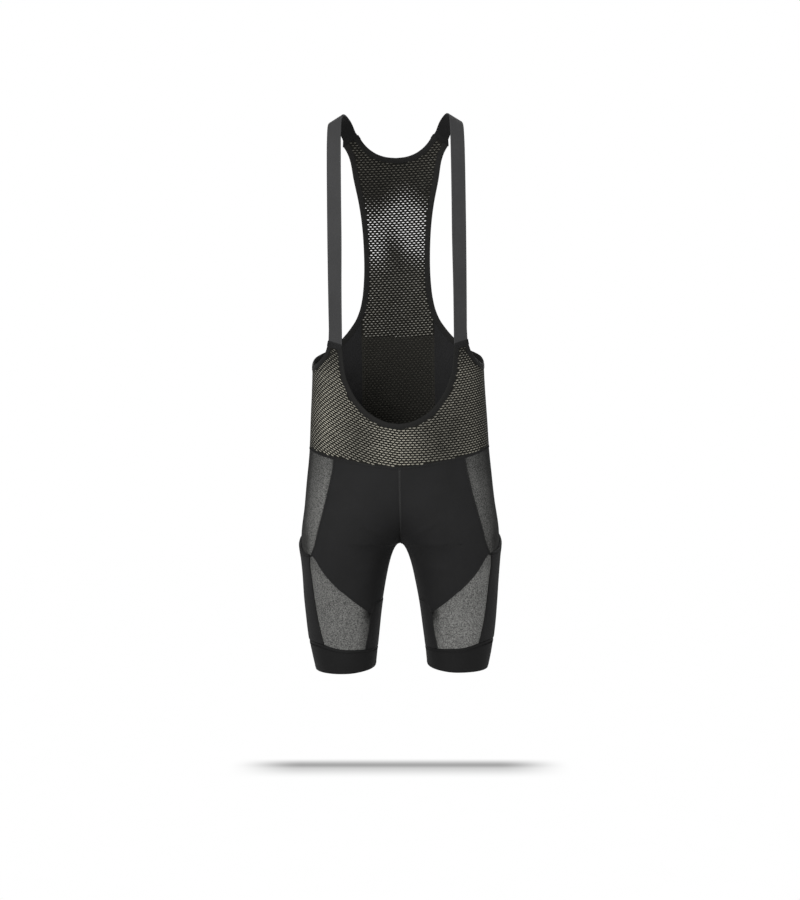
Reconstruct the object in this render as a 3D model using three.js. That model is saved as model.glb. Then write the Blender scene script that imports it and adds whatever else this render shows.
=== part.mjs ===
import * as THREE from "three";

// Cycling bib shorts, hollow and filled out as if worn. Millimetres, z up, the front faces -y.
// The origin lies midway between the tops of the two braces. Left is -x and right is +x.
// Every cloth piece is a wall on one body form. A point of that form is an angle and a height:
// angle 0 is the outer side, 90 the front, 180 the inner side (or the other side above the
// waist seam), and -90 the back. Right pieces are made first, and left pieces mirror them.

const WALL = 1.5; // sewn panels
const NET_WALL = 1.2;
const SEAM_GAP = 0.3;
const BINDING_WIDTH = 8.5;
const BINDING = { out: 0.4, inn: 1.9 }; // a folded strip is thicker than the net it holds
const OVERLAY_GAP = 0.3; // between a panel and a layer sewn on it
const LAYER = 1.3;
const STRAP_WIDTH = 26;
const STRAP_THICK = 1.8;
const MOUTH = 3.2; // how far a thigh pocket's mouth stands open
const SQUARENESS = 2.2; // 2 would make each section an ellipse

const WAIST_FRONT_Z = -585;
const CROTCH_Z = -709;
const INNER_SEAM_Z = -801;
const HEM_TOP_Z = -878;
const SIDE_SEAM_ANGLE = -5;
const BACK_SEAM_X = 62;
const REAR_POCKET_TOP_Z = -363;

// Half width, front depth and back depth of the body form, read downwards.
const BODY = [
  { z: 20, side: 148, front: 66, back: 68 },
  { z: -40, side: 154, front: 88, back: 92 },
  { z: -150, side: 157, front: 106, back: 106 },
  { z: -270, side: 149, front: 108, back: 103 },
  { z: -400, side: 141, front: 103, back: 96 },
  { z: -480, side: 144, front: 104, back: 93 },
  { z: -560, side: 148.5, front: 105, back: 97 },
  { z: -640, side: 156.5, front: 107, back: 110 },
  { z: -690, side: 162.5, front: 104, back: 115 },
  { z: -733, side: 162, front: 98, back: 106 },
  { z: -774, side: 159.5, front: 92, back: 92 },
  { z: -804, side: 157.5, front: 87, back: 82 },
  { z: -843, side: 153.8, front: 81, back: 71 },
  { z: -883, side: 148, front: 75, back: 63 },
  { z: -930, side: 138, front: 68, back: 57 },
];

// Height of the waist seam round one half, by angle.
const WAIST_SEAM = [
  { angle: 90, z: -585 },
  { angle: 76, z: -580.5 },
  { angle: 62, z: -574 },
  { angle: 47, z: -567.5 },
  { angle: 16, z: -553 },
  { angle: 0, z: -550 },
  { angle: -30, z: -553 },
  { angle: -60, z: -558 },
  { angle: -90, z: -561 },
];

// Free edge of the armhole: down the front horn, under the arm, up the back to the brace.
const ARMHOLE_FRONT = [
  { x: 112, z: -380 },
  { x: 114.5, z: -388.5 },
  { x: 117.5, z: -397 },
  { x: 122.5, z: -405 },
  { x: 129, z: -411 },
  { x: 137, z: -416 },
];
const ARMHOLE_BACK = [
  { x: 140.3, z: -407 },
  { x: 136.8, z: -400 },
  { x: 130, z: -394.5 },
  { x: 120, z: -388.5 },
  { x: 97, z: -369 },
  { x: 75, z: -341 },
  { x: 65.6, z: -321 },
  { x: 60.5, z: -300 },
  { x: 58, z: -280 },
  { x: 56.2, z: -239 },
  { x: 58.8, z: -178 },
  { x: 64, z: -137 },
  { x: 72.4, z: -96 },
  { x: 77.5, z: -66 },
  { x: 82.5, z: -52 },
  { x: 89.5, z: -40 },
];
// Free edge of the scoop neck, from the brace to the middle.
const SCOOP = [
  { x: 90, z: -386 },
  { x: 89.5, z: -398 },
  { x: 85.5, z: -433.5 },
  { x: 77, z: -457 },
  { x: 64, z: -479 },
  { x: 42.5, z: -500 },
  { x: 17.5, z: -512 },
  { x: 0, z: -514.5 },
];
const BACK_NECK = [
  { x: 63.5, z: -21 },
  { x: 59, z: -28.5 },
  { x: 52.5, z: -37 },
  { x: 43, z: -45.5 },
  { x: 31, z: -52.5 },
  { x: 16, z: -57 },
  { x: 0, z: -58.5 },
];

// Seams of the lower part, on the front.
const SIDE_MESH_FRONT = [
  { x: 105.3, z: -567.5 },
  { x: 110, z: -598 },
  { x: 120.3, z: -640 },
  { x: 128.4, z: -670 },
  { x: 135.6, z: -698 },
  { x: 140, z: -713 },
  { x: 146, z: -727 },
];
const FRONT_PANEL_LOWER = [
  { x: 146, z: -727 },
  { x: 142, z: -725.5 },
  { x: 138.5, z: -728.5 },
  { x: 135, z: -734 },
  { x: 128.5, z: -744.5 },
  { x: 118.5, z: -758 },
  { x: 104.5, z: -773 },
  { x: 90, z: -785.5 },
  { x: 75, z: -798.5 },
  { x: 60, z: -810.5 },
  { x: 48.5, z: -820 },
];
const THIGH_MESH_OUTER = [
  { x: 146, z: -727 },
  { x: 146.6, z: -737.5 },
  { x: 143.2, z: -767.5 },
  { x: 139, z: -800 },
  { x: 133.4, z: -835 },
  { x: 124.7, z: -869 },
];
const THIGH_MESH_INNER = [
  { x: 48.5, z: -820 },
  { x: 52, z: -850 },
  { x: 57.3, z: -878 },
];
// Seams that run round the outer side and the back, by angle.
const MESH_BACK_EDGE = [
  { angle: -28, z: -553 },
  { angle: -33, z: -620 },
  { angle: -45, z: -700 },
];
const POCKET_BACK_EDGE = [
  { angle: -45, z: -700 },
  { angle: -54, z: -735 },
  { angle: -58, z: -800 },
  { angle: -58, z: -870 },
];
const POCKET_TOP = { angle: [20, 8, -4, -20], z: [-725, -717, -707, -703] };
const HEM_TOP = [
  { angle: -180, z: -878 },
  { angle: -90, z: -873 },
  { angle: -58, z: -870 },
  { angle: 0, z: -866 },
  { angle: 30, z: -866 },
  { angle: 54, z: -869 },
  { angle: 69, z: -873 },
  { angle: 93, z: -878 },
  { angle: 180, z: -878 },
];
const HEM_BOTTOM = [
  { angle: -180, z: -908 },
  { angle: -135, z: -911.5 },
  { angle: -90, z: -914.5 },
  { angle: 0, z: -914.5 },
  { angle: 90, z: -916.5 },
  { angle: 135, z: -913 },
  { angle: 180, z: -908 },
];

// Centreline of the right brace, with the direction across it towards the neck.
const STRAP = [
  { at: [100.5, -75, -383], across: [-0.8, -0.6, 0] },
  { at: [100.3, -88, -300], across: [-0.83, -0.56, 0] },
  { at: [99.7, -95, -220], across: [-0.88, -0.475, 0] },
  { at: [99.7, -92, -150], across: [-0.88, -0.47, 0.08] },
  { at: [99.8, -80, -92], across: [-0.88, -0.44, 0.18] },
  { at: [99.8, -60, -48], across: [-0.87, -0.3, 0.4] },
  { at: [99, -32, -19], across: [-0.85, -0.06, 0.53] },
  { at: [96.3, -4, -9], across: [-0.85, 0.02, 0.53] },
  { at: [91.3, 24, -7.5], across: [-0.85, 0.1, 0.52] },
  { at: [84.2, 52, -14], across: [-0.85, 0.2, 0.49] },
  { at: [76.5, 80, -29.2], across: [-0.79, 0.2, 0.577] },
];

const rad = (deg) => (deg * Math.PI) / 180;
const mix = (a, b, k) => a + (b - a) * k;
const mirrored = ([angle, z]) => [180 - angle, z];

// Smooth value of one column of a table whose key falls or rises from row to row.
function column(rows, key, value) {
  const sorted = [...rows].sort((a, b) => a[key] - b[key]);
  const k = sorted.map((r) => r[key]);
  const y = sorted.map((r) => r[value]);
  const last = k.length - 1;
  const slope = k.map((_, i) => {
    const a = Math.max(i - 1, 0);
    const b = Math.min(i + 1, last);
    return (y[b] - y[a]) / (k[b] - k[a]);
  });
  return (at) => {
    const c = Math.min(Math.max(at, k[0]), k[last]);
    let i = 0;
    while (i < last - 1 && c > k[i + 1]) i++;
    const h = k[i + 1] - k[i];
    const s = (c - k[i]) / h;
    const s2 = s * s;
    const s3 = s2 * s;
    return (
      y[i] * (2 * s3 - 3 * s2 + 1) +
      slope[i] * h * (s3 - 2 * s2 + s) +
      y[i + 1] * (3 * s2 - 2 * s3) +
      slope[i + 1] * h * (s3 - s2)
    );
  };
}
const sideAt = column(BODY, "z", "side");
const frontAt = column(BODY, "z", "front");
const backAt = column(BODY, "z", "back");
const waistZ = column(WAIST_SEAM, "angle", "z");
const hemTopZ = column(HEM_TOP, "angle", "z");
const hemBottomZ = column(HEM_BOTTOM, "angle", "z");

// One half's section: above the waist seam it is the whole torso, at the crotch its inner
// side reaches the middle, and below that it is a leg.
function section(z) {
  const side = sideAt(z);
  if (z >= WAIST_FRONT_Z) return { middle: 0, half: side };
  if (z > CROTCH_Z) {
    const left = 1 - (z - CROTCH_Z) / (WAIST_FRONT_Z - CROTCH_Z);
    const half = side / (1 + Math.pow(left, 1.6));
    return { middle: side - half, half };
  }
  const below = CROTCH_Z - z;
  const inner = 3.3 * Math.sqrt(below) - 0.02 * below; // the arch between the legs
  return { middle: (side + inner) / 2, half: (side - inner) / 2 };
}

function body([angle, z]) {
  const { middle, half } = section(z);
  const c = Math.cos(rad(angle));
  const s = Math.sin(rad(angle));
  const power = 2 / SQUARENESS;
  const depth = s > 0 ? frontAt(z) : backAt(z);
  return new THREE.Vector3(
    middle + half * Math.sign(c) * Math.pow(Math.abs(c), power),
    -depth * Math.sign(s) * Math.pow(Math.abs(s), power),
    z,
  );
}

function bodyNormal([angle, z]) {
  const round = body([angle + 0.5, z]).sub(body([angle - 0.5, z]));
  const up = body([angle, z + 0.2]).sub(body([angle, z - 0.2]));
  return up.cross(round).normalize();
}

// The angle of a point near the body form.
function angleOf(p) {
  const { middle, half } = section(p.z);
  const c = (p.x - middle) / half;
  const s = -p.y / (p.y < 0 ? frontAt(p.z) : backAt(p.z));
  const power = SQUARENESS / 2;
  const deg = THREE.MathUtils.radToDeg(
    Math.atan2(
      Math.sign(s) * Math.pow(Math.abs(s), power),
      Math.sign(c) * Math.pow(Math.abs(c), power),
    ),
  );
  return deg;
}

function angleAtX(x, z, onBack) {
  const { middle, half } = section(z);
  const c = Math.max(-1, Math.min(1, (x - middle) / half));
  const deg = THREE.MathUtils.radToDeg(
    Math.acos(Math.sign(c) * Math.pow(Math.abs(c), SQUARENESS / 2)),
  );
  return onBack ? -deg : deg;
}
const onFront = (rows) => rows.map(({ x, z }) => [angleAtX(x, z, false), z]);
const onBack = (rows) => rows.map(({ x, z }) => [angleAtX(x, z, true), z]);
const byAngle = (rows) => rows.map(({ angle, z }) => [angle, z]);

// Angle of the middle seam at a height: front centre above the crotch, inside leg below it.
function centreAngle(z) {
  if (z >= WAIST_FRONT_Z) return 90;
  if (z <= CROTCH_Z) return 180;
  const { middle, half } = section(z);
  return THREE.MathUtils.radToDeg(
    Math.acos(-Math.pow(middle / half, SQUARENESS / 2)),
  );
}

// A smooth line through points of the form, cut into equal lengths along the surface.
function trace(points, count) {
  const path = new THREE.CatmullRomCurve3(
    points.map(([angle, z]) => new THREE.Vector3(angle, z, 0)),
    false,
    "centripetal",
  );
  const fine = path.getPoints(points.length * 12).map((p) => [p.x, p.y]);
  return respace(fine, count);
}

function respace(line, count) {
  const at = [0];
  for (let i = 1; i < line.length; i++)
    at.push(at[i - 1] + body(line[i]).distanceTo(body(line[i - 1])));
  const total = at[at.length - 1];
  const out = [];
  let i = 1;
  for (let n = 0; n < count; n++) {
    const want = (total * n) / (count - 1);
    while (i < line.length - 1 && at[i] < want) i++;
    const k = (want - at[i - 1]) / (at[i] - at[i - 1] || 1);
    out.push([mix(line[i - 1][0], line[i][0], k), mix(line[i - 1][1], line[i][1], k)]);
  }
  return out;
}

// The line beside another on the form, at a distance, on the left of its direction of travel.
function beside(line, distance) {
  return line.map((at, i) => {
    const from = body(line[Math.max(i - 1, 0)]);
    const to = body(line[Math.min(i + 1, line.length - 1)]);
    const along = to.sub(from).normalize();
    const sideways = bodyNormal(at).cross(along).normalize();
    const p = body(at).addScaledVector(sideways, distance);
    const angle = angleOf(p);
    return [Math.abs(at[0]) > 120 && Math.sign(angle) !== Math.sign(at[0]) ? angle + 360 : angle, p.z];
  });
}

// A four-sided sheet on the form. top and bottom run the same way, as do first and last,
// which join their ends. In the "share" space the angle counts from the middle seam, so that
// one sheet can pass the crotch.
function sheet({ top, bottom, first, last }, space) {
  const enter = ([angle, z]) =>
    space === "share" ? [angle / centreAngle(z), z] : [angle, z];
  const leave = ([u, z]) => (space === "share" ? [u * centreAngle(z), z] : [u, z]);
  const [T, B, F, L] = [top, bottom, first, last].map((line) => line.map(enter));
  const rows = F.length - 1;
  const cols = T.length - 1;
  return F.map((_, i) =>
    T.map((_, j) => {
      const v = i / rows;
      const u = j / cols;
      const at = [0, 1].map(
        (k) =>
          mix(T[j][k], B[j][k], v) +
          mix(F[i][k], L[i][k], u) -
          mix(mix(T[0][k], T[cols][k], u), mix(B[0][k], B[cols][k], u), v),
      );
      return leave(at);
    }),
  );
}

// Grid of surface points with normals; every free side is drawn in by half a seam gap.
function placed(grid, loop = false) {
  const raw = grid.map((row) =>
    row.map((at) => ({ p: body(at), n: bodyNormal(at) })),
  );
  return drawnIn(raw, loop);
}

function drawnIn(raw, loop) {
  const rows = raw.length;
  const cols = raw[0].length;
  const inward = (i, j, di, dj) => {
    const here = raw[i][j].p;
    const step = raw[i + di][(j + dj + cols) % cols].p.clone().sub(here);
    const a = raw[dj ? Math.max(i - 1, 0) : i][di ? pick(j - 1) : j].p;
    const b = raw[dj ? Math.min(i + 1, rows - 1) : i][di ? pick(j + 1) : j].p;
    const along = b.clone().sub(a).normalize();
    step.addScaledVector(along, -step.dot(along));
    step.addScaledVector(raw[i][j].n, -step.dot(raw[i][j].n));
    return step.normalize().multiplyScalar(SEAM_GAP / 2);
  };
  const pick = (j) =>
    loop ? (j + cols) % cols : Math.max(0, Math.min(cols - 1, j));
  return raw.map((row, i) =>
    row.map(({ p, n }, j) => {
      const moved = p.clone();
      if (i === 0) moved.add(inward(i, j, 1, 0));
      if (i === rows - 1) moved.add(inward(i, j, -1, 0));
      if (!loop && j === 0) moved.add(inward(i, j, 0, 1));
      if (!loop && j === cols - 1) moved.add(inward(i, j, 0, -1));
      return { p: moved, n };
    }),
  );
}

// A closed wall from a grid: the outer face lies out from it and the inner face inn from it.
function wall(points, { out = 0, inn = WALL, loop = false, flip = false } = {}) {
  const rows = points.length;
  const cols = points[0].length;
  const offset = (value, i, j) =>
    typeof value === "function" ? value(i / (rows - 1), j / (cols - 1)) : value;
  const positions = [];
  for (const face of [1, -1])
    points.forEach((row, i) =>
      row.forEach(({ p, n }, j) => {
        const far = face > 0 ? offset(out, i, j) : -offset(inn, i, j);
        const at = p.clone().addScaledVector(n, far);
        positions.push(flip ? -at.x : at.x, at.y, at.z);
      }),
    );
  const id = (face, i, j) => face * rows * cols + i * cols + (j % cols);
  const quads = [];
  const across = loop ? cols : cols - 1;
  for (let i = 0; i < rows - 1; i++)
    for (let j = 0; j < across; j++) {
      quads.push([id(0, i, j), id(0, i + 1, j), id(0, i + 1, j + 1), id(0, i, j + 1)]);
      quads.push([id(1, i, j), id(1, i, j + 1), id(1, i + 1, j + 1), id(1, i + 1, j)]);
    }
  for (let j = 0; j < across; j++) {
    quads.push([id(0, 0, j), id(0, 0, j + 1), id(1, 0, j + 1), id(1, 0, j)]);
    quads.push([
      id(0, rows - 1, j),
      id(1, rows - 1, j),
      id(1, rows - 1, j + 1),
      id(0, rows - 1, j + 1),
    ]);
  }
  if (!loop)
    for (let i = 0; i < rows - 1; i++) {
      quads.push([id(0, i, 0), id(1, i, 0), id(1, i + 1, 0), id(0, i + 1, 0)]);
      quads.push([
        id(0, i, cols - 1),
        id(0, i + 1, cols - 1),
        id(1, i + 1, cols - 1),
        id(1, i, cols - 1),
      ]);
    }
  const index = quads.flatMap(([a, b, c, d]) => [a, b, c, a, c, d]);
  const geometry = new THREE.BufferGeometry();
  geometry.setAttribute("position", new THREE.Float32BufferAttribute(positions, 3));
  if (volume(positions, index) < 0)
    for (let k = 0; k < index.length; k += 3)
      [index[k + 1], index[k + 2]] = [index[k + 2], index[k + 1]];
  geometry.setIndex(index);
  geometry.computeVertexNormals();
  return geometry;
}

function volume(positions, index) {
  const at = (k) => new THREE.Vector3().fromArray(positions, index[k] * 3);
  let six = 0;
  for (let k = 0; k < index.length; k += 3)
    six += at(k).dot(at(k + 1).cross(at(k + 2)));
  return six;
}

const group = new THREE.Group();
const BLACK = new THREE.MeshStandardMaterial({ color: 0x26262a, roughness: 0.75 });
const NET = new THREE.MeshStandardMaterial({ color: 0x35342f, roughness: 0.85 });
const SHEER = new THREE.MeshStandardMaterial({ color: 0x6c6c69, roughness: 0.8 });
const ELASTIC = new THREE.MeshStandardMaterial({ color: 0x48484a, roughness: 0.85 });

function add(name, geometry, material) {
  const mesh = new THREE.Mesh(geometry, material);
  mesh.name = name;
  group.add(mesh);
}
function addPair(name, points, options, material) {
  add(name + "_right", wall(points, options), material);
  add(name + "_left", wall(points, { ...options, flip: true }), material);
}

// Edges shared by two pieces are traced once.
const waistLine = (from, to, count) =>
  Array.from({ length: count }, (_, i) => {
    const angle = mix(from, to, i / (count - 1));
    return [angle, waistZ(angle > 90 ? 180 - angle : angle)];
  });
const level = (from, to, z, count) =>
  Array.from({ length: count }, (_, i) => [mix(from, to, i / (count - 1)), z]);
const hemTop = (from, to, count) => level(from, to, 0, count).map(([a]) => [a, hemTopZ(a)]);
const upright = (angle, from, to, count) =>
  Array.from({ length: count }, (_, i) => [angle, mix(from, to, i / (count - 1))]);

const toLeftBack = ([angle, z]) => [-180 - angle, z];
const between = (a, b, k) => [mix(a[0], b[0], k), mix(a[1], b[1], k)];
const armEdge = trace([...onFront(ARMHOLE_FRONT), [4, -415], ...onBack(ARMHOLE_BACK)], 48);
const scoopHalf = trace(onFront(SCOOP), 16);
const neckHalf = trace(onBack(BACK_NECK), 6);
const armEnd = armEdge[armEdge.length - 1];
// Under a brace the seams of both bindings start on the line that the brace is cut to.
const armSeam = beside(armEdge, -BINDING_WIDTH);
const scoopSeamHalf = beside(scoopHalf, BINDING_WIDTH);
const neckSeamHalf = beside(neckHalf, -BINDING_WIDTH);
armSeam[0] = between(armEdge[0], scoopHalf[0], 0.33);
armSeam[armSeam.length - 1] = between(armEnd, neckHalf[0], 0.32);
scoopSeamHalf[0] = between(scoopHalf[0], armEdge[0], 0.33);
neckSeamHalf[0] = between(neckHalf[0], armEnd, 0.32);
scoopSeamHalf[scoopSeamHalf.length - 1][0] = 90;
neckSeamHalf[neckSeamHalf.length - 1][0] = -90;
const both = (half, other) => [...half, ...half.slice(0, -1).reverse().map(other)];
const scoopEdge = both(scoopHalf, mirrored);
const scoopSeam = both(scoopSeamHalf, mirrored);
const neckEdge = both(neckHalf, toLeftBack);
const neckSeam = both(neckSeamHalf, toLeftBack);

// The armhole seam passes from the front net to the side back panel and to the back net.
const underArm = armSeam.findIndex(([angle]) => angle < SIDE_SEAM_ANGLE);
const [before, after] = [armSeam[underArm - 1], armSeam[underArm]];
const sideTop = between(before, after, (SIDE_SEAM_ANGLE - before[0]) / (after[0] - before[0]));
const meets = armSeam.findIndex((at, i) => i > underArm && body(at).x < BACK_SEAM_X);
const backCorner = armSeam[meets - 1];
const armToFront = [...armSeam.slice(0, underArm), sideTop];
const armUnder = [sideTop, ...armSeam.slice(underArm, meets)];
const armToNeck = armSeam.slice(meets - 1);

// Front net, from one side seam up the horn, round the scoop and back down.
const netTop = both([...armToFront.slice().reverse(), ...scoopSeamHalf], mirrored);
const netBottom = netTop.map(([angle]) => [
  angle,
  waistZ(angle > 90 ? 180 - angle : angle),
]);
const sideSeam = upright(SIDE_SEAM_ANGLE, netTop[0][1], netBottom[0][1], 8);
add(
  "front_net",
  wall(
    placed(
      sheet(
        { top: netTop, bottom: netBottom, first: sideSeam, last: sideSeam.map(mirrored) },
        "angle",
      ),
    ),
    { inn: NET_WALL },
  ),
  NET,
);

// A folded strip between a free edge and the seam beside it.
const strip = (edge, seam) => placed([edge, seam]);
add("front_neck_binding", wall(strip(scoopEdge, scoopSeam), BINDING), BLACK);
add("back_neck_binding", wall(strip(neckEdge, neckSeam), BINDING), BLACK);
addPair("armhole_binding", strip(armEdge, armSeam), BINDING, BLACK);

// Back net: its sides follow the armhole seam, then run straight down to the waist seam.
const backStraight = trace(
  [
    backCorner,
    ...onBack([
      { x: BACK_SEAM_X, z: -375 },
      { x: BACK_SEAM_X, z: -470 },
      { x: BACK_SEAM_X, z: waistZ(-65) },
    ]),
  ],
  11,
);
const backSideLine = [...armToNeck.slice(1).reverse(), ...backStraight];
const netNeck = both([armSeam[armSeam.length - 1], ...neckSeamHalf], toLeftBack);
const backFoot = backStraight[10][0];
const backWaist = netNeck.map((_, i) => {
  const angle = mix(backFoot, -180 - backFoot, i / (netNeck.length - 1));
  return [angle, waistZ(angle < -90 ? -180 - angle : angle)];
});
add(
  "back_net",
  wall(
    placed(
      sheet(
        {
          top: netNeck,
          bottom: backWaist,
          first: backSideLine,
          last: backSideLine.map(toLeftBack),
        },
        "angle",
      ),
    ),
    { inn: NET_WALL },
  ),
  NET,
);

// The rear pocket is a layer over the lower part of the back net.
const pocketSide = onBack(
  Array.from({ length: 11 }, (_, i) => ({
    x: BACK_SEAM_X - 0.5,
    z: mix(REAR_POCKET_TOP_Z, waistZ(-65), i / 10),
  })),
);
const pocketTop = level(
  pocketSide[0][0],
  -180 - pocketSide[0][0],
  REAR_POCKET_TOP_Z,
  backWaist.length,
);
add(
  "rear_pocket",
  wall(
    placed(
      sheet(
        {
          top: pocketTop,
          bottom: backWaist,
          first: pocketSide,
          last: pocketSide.map(toLeftBack),
        },
        "angle",
      ),
    ),
    { out: OVERLAY_GAP + LAYER, inn: -OVERLAY_GAP },
  ),
  BLACK,
);

// Side back panels, from the side seam to the back net.
addPair(
  "side_back",
  placed(
    sheet(
      {
        top: armUnder,
        bottom: waistLine(SIDE_SEAM_ANGLE, backFoot, armUnder.length),
        first: upright(SIDE_SEAM_ANGLE, sideTop[1], waistZ(SIDE_SEAM_ANGLE), 11),
        last: backStraight,
      },
      "angle",
    ),
  ),
  {},
  BLACK,
);

// The brace hangs from the shoulder, its front end on the horn and its rear end on the back.
function strapPoints(rows) {
  const path = new THREE.CatmullRomCurve3(STRAP.map((s) => new THREE.Vector3(...s.at)));
  const turn = new THREE.CatmullRomCurve3(
    STRAP.map((s) => new THREE.Vector3(...s.across)),
  );
  const grid = [];
  for (let i = 0; i < rows; i++) {
    const t = i / (rows - 1);
    const at = path.getPoint(t);
    const along = path.getTangent(t);
    const across = turn.getPoint(t);
    across.addScaledVector(along, -across.dot(along)).normalize();
    const n = across.clone().cross(along).normalize();
    grid.push(
      [-1, 0, 1].map((k) => ({
        p: at.clone().addScaledVector(across, (k * STRAP_WIDTH) / 2),
        n,
      })),
    );
  }
  // Both ends are cut to the line of the piece that they are sewn to.
  const cut = (row, a, b, lift) =>
    row.forEach((point, k) => {
      point.p.copy(a.clone().lerp(b, k / 2));
      point.p.z += lift;
    });
  cut(grid[0], body(armEdge[0]), body(scoopEdge[0]), 0.4);
  cut(grid[rows - 1], body(armEnd), body(neckEdge[0]), 0.9);
  return drawnIn(grid, false);
}
addPair(
  "strap",
  strapPoints(40),
  { out: STRAP_THICK / 2, inn: STRAP_THICK / 2 },
  ELASTIC,
);

// Front panels: centre front seam and inside leg on one side, the sheer panels on the other.
const meshFront = trace(onFront(SIDE_MESH_FRONT), 18);
const lowerEdge = trace(onFront(FRONT_PANEL_LOWER), 11);
const corner = lowerEdge[10];
const innerTop = trace([corner, [141, -807.5], [153, INNER_SEAM_Z], [180, INNER_SEAM_Z]], 6);
function middleSeam(topZ, bottomZ, side, count) {
  const fine = Array.from({ length: 400 }, (_, i) => {
    const z = mix(topZ, bottomZ, i / 399);
    return [side * centreAngle(z), z];
  });
  return respace(fine, count);
}
addPair(
  "front_panel",
  placed(
    sheet(
      {
        top: waistLine(90, meshFront[0][0], 16),
        bottom: [...innerTop.slice().reverse(), ...lowerEdge.slice(0, 10).reverse()],
        first: middleSeam(WAIST_FRONT_Z, INNER_SEAM_Z, 1, 18),
        last: meshFront,
      },
      "share",
    ),
  ),
  {},
  BLACK,
);

// Sheer side panels, from the waist seam to the pocket.
const meshBack = trace(byAngle(MESH_BACK_EDGE), 18);
const pocketLine = trace(
  [
    meshFront[17],
    ...POCKET_TOP.angle.map((angle, i) => [angle, POCKET_TOP.z[i]]),
    meshBack[17],
  ],
  11,
);
addPair(
  "side_mesh",
  placed(
    sheet(
      {
        top: waistLine(meshFront[0][0], meshBack[0][0], 11),
        bottom: pocketLine,
        first: meshFront,
        last: meshBack,
      },
      "angle",
    ),
  ),
  {},
  SHEER,
);

// Sheer thigh panels and the inner thigh panels beside them.
const thighOuter = trace(onFront(THIGH_MESH_OUTER), 11);
const thighInner = trace(onFront(THIGH_MESH_INNER), 9);
addPair(
  "thigh_mesh",
  placed(
    sheet(
      {
        top: lowerEdge,
        bottom: hemTop(thighOuter[10][0], thighInner[8][0], 11),
        first: respace(thighOuter, 9),
        last: thighInner,
      },
      "angle",
    ),
  ),
  {},
  SHEER,
);
addPair(
  "inner_thigh",
  placed(
    sheet(
      {
        top: innerTop,
        bottom: hemTop(thighInner[8][0], 180, 6),
        first: thighInner,
        last: upright(180, INNER_SEAM_Z, HEM_TOP_Z, 9),
      },
      "angle",
    ),
  ),
  {},
  BLACK,
);

// Outer thigh panels, with a pocket on each whose mouth stands a little open.
const pocketBack = trace(byAngle(POCKET_BACK_EDGE), 11);
const outerThigh = sheet(
  {
    top: pocketLine,
    bottom: hemTop(thighOuter[10][0], pocketBack[10][0], 11),
    first: thighOuter,
    last: pocketBack,
  },
  "angle",
);
addPair("outer_thigh", placed(outerThigh), {}, BLACK);
const mouth = (v, u) => MOUTH * Math.pow(1 - v, 8) * Math.sin(Math.PI * u);
addPair(
  "thigh_pocket",
  placed(outerThigh),
  {
    out: (v, u) => OVERLAY_GAP + LAYER + mouth(v, u),
    inn: (v, u) => -OVERLAY_GAP - mouth(v, u),
  },
  BLACK,
);
// The binding of the mouth stands up above the pocket.
const lean = (v) => 0.15 + 0.85 * v;
const mouthTop = pocketLine.map(([angle, z], i) => [
  angle,
  z + 4 + 6 * Math.sin((Math.PI * i) / 10),
]);
addPair(
  "pocket_binding",
  placed([mouthTop, pocketLine]),
  {
    out: (v, u) => OVERLAY_GAP + 2 + lean(v) * mouth(0, u),
    inn: (v, u) => -OVERLAY_GAP - lean(v) * mouth(0, u),
  },
  BLACK,
);

// Seat panels, from the back waist seam to the hem, with the centre back seam.
const seatOuter = [...respace(meshBack, 12), ...pocketBack.slice(1)];
addPair(
  "seat",
  placed(
    sheet(
      {
        top: waistLine(-90, meshBack[0][0], 12),
        bottom: hemTop(-180, pocketBack[10][0], 12),
        first: middleSeam(waistZ(-90), HEM_TOP_Z, -1, 22),
        last: seatOuter,
      },
      "share",
    ),
  ),
  {},
  BLACK,
);

// Hem grippers, a ring round each leg.
const around = Array.from({ length: 44 }, (_, i) => -180 + (360 * i) / 44);
const hem = [0, 0.5, 1].map((k) =>
  around.map((angle) => [angle, mix(hemTopZ(angle), hemBottomZ(angle), k)]),
);
addPair("hem", placed(hem, true), { out: 0.3, inn: 1.8, loop: true }, BLACK);

export default group;
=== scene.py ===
"""Cycling bib shorts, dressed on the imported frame. The form is worked out in millimetres."""

import math

import bpy
import numpy as np
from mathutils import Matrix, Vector


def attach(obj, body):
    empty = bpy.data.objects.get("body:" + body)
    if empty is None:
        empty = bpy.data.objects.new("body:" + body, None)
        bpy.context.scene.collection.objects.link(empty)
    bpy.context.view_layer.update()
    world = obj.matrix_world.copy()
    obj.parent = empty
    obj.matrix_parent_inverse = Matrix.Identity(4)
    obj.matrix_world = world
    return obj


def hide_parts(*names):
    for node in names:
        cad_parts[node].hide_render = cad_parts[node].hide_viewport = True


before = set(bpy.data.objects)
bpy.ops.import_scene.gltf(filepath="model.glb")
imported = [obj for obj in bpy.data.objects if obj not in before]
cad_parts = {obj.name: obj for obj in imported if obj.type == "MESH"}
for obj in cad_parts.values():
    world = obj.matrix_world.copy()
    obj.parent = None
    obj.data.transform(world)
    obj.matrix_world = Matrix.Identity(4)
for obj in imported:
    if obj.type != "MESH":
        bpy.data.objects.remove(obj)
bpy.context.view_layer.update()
rng = np.random.default_rng(11)

# ---------------------------------------------------------------- the body form
SQUARENESS = 2.2
WAIST_FRONT_Z, CROTCH_Z, INNER_SEAM_Z, HEM_TOP_Z = -585, -709, -801, -878
SIDE_SEAM_ANGLE = -5
BACK_SEAM_X = 62
REAR_POCKET_TOP_Z = -363
BINDING_WIDTH = 8.5
SEAM_GAP = 0.3
LINE_POINTS = 361

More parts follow.
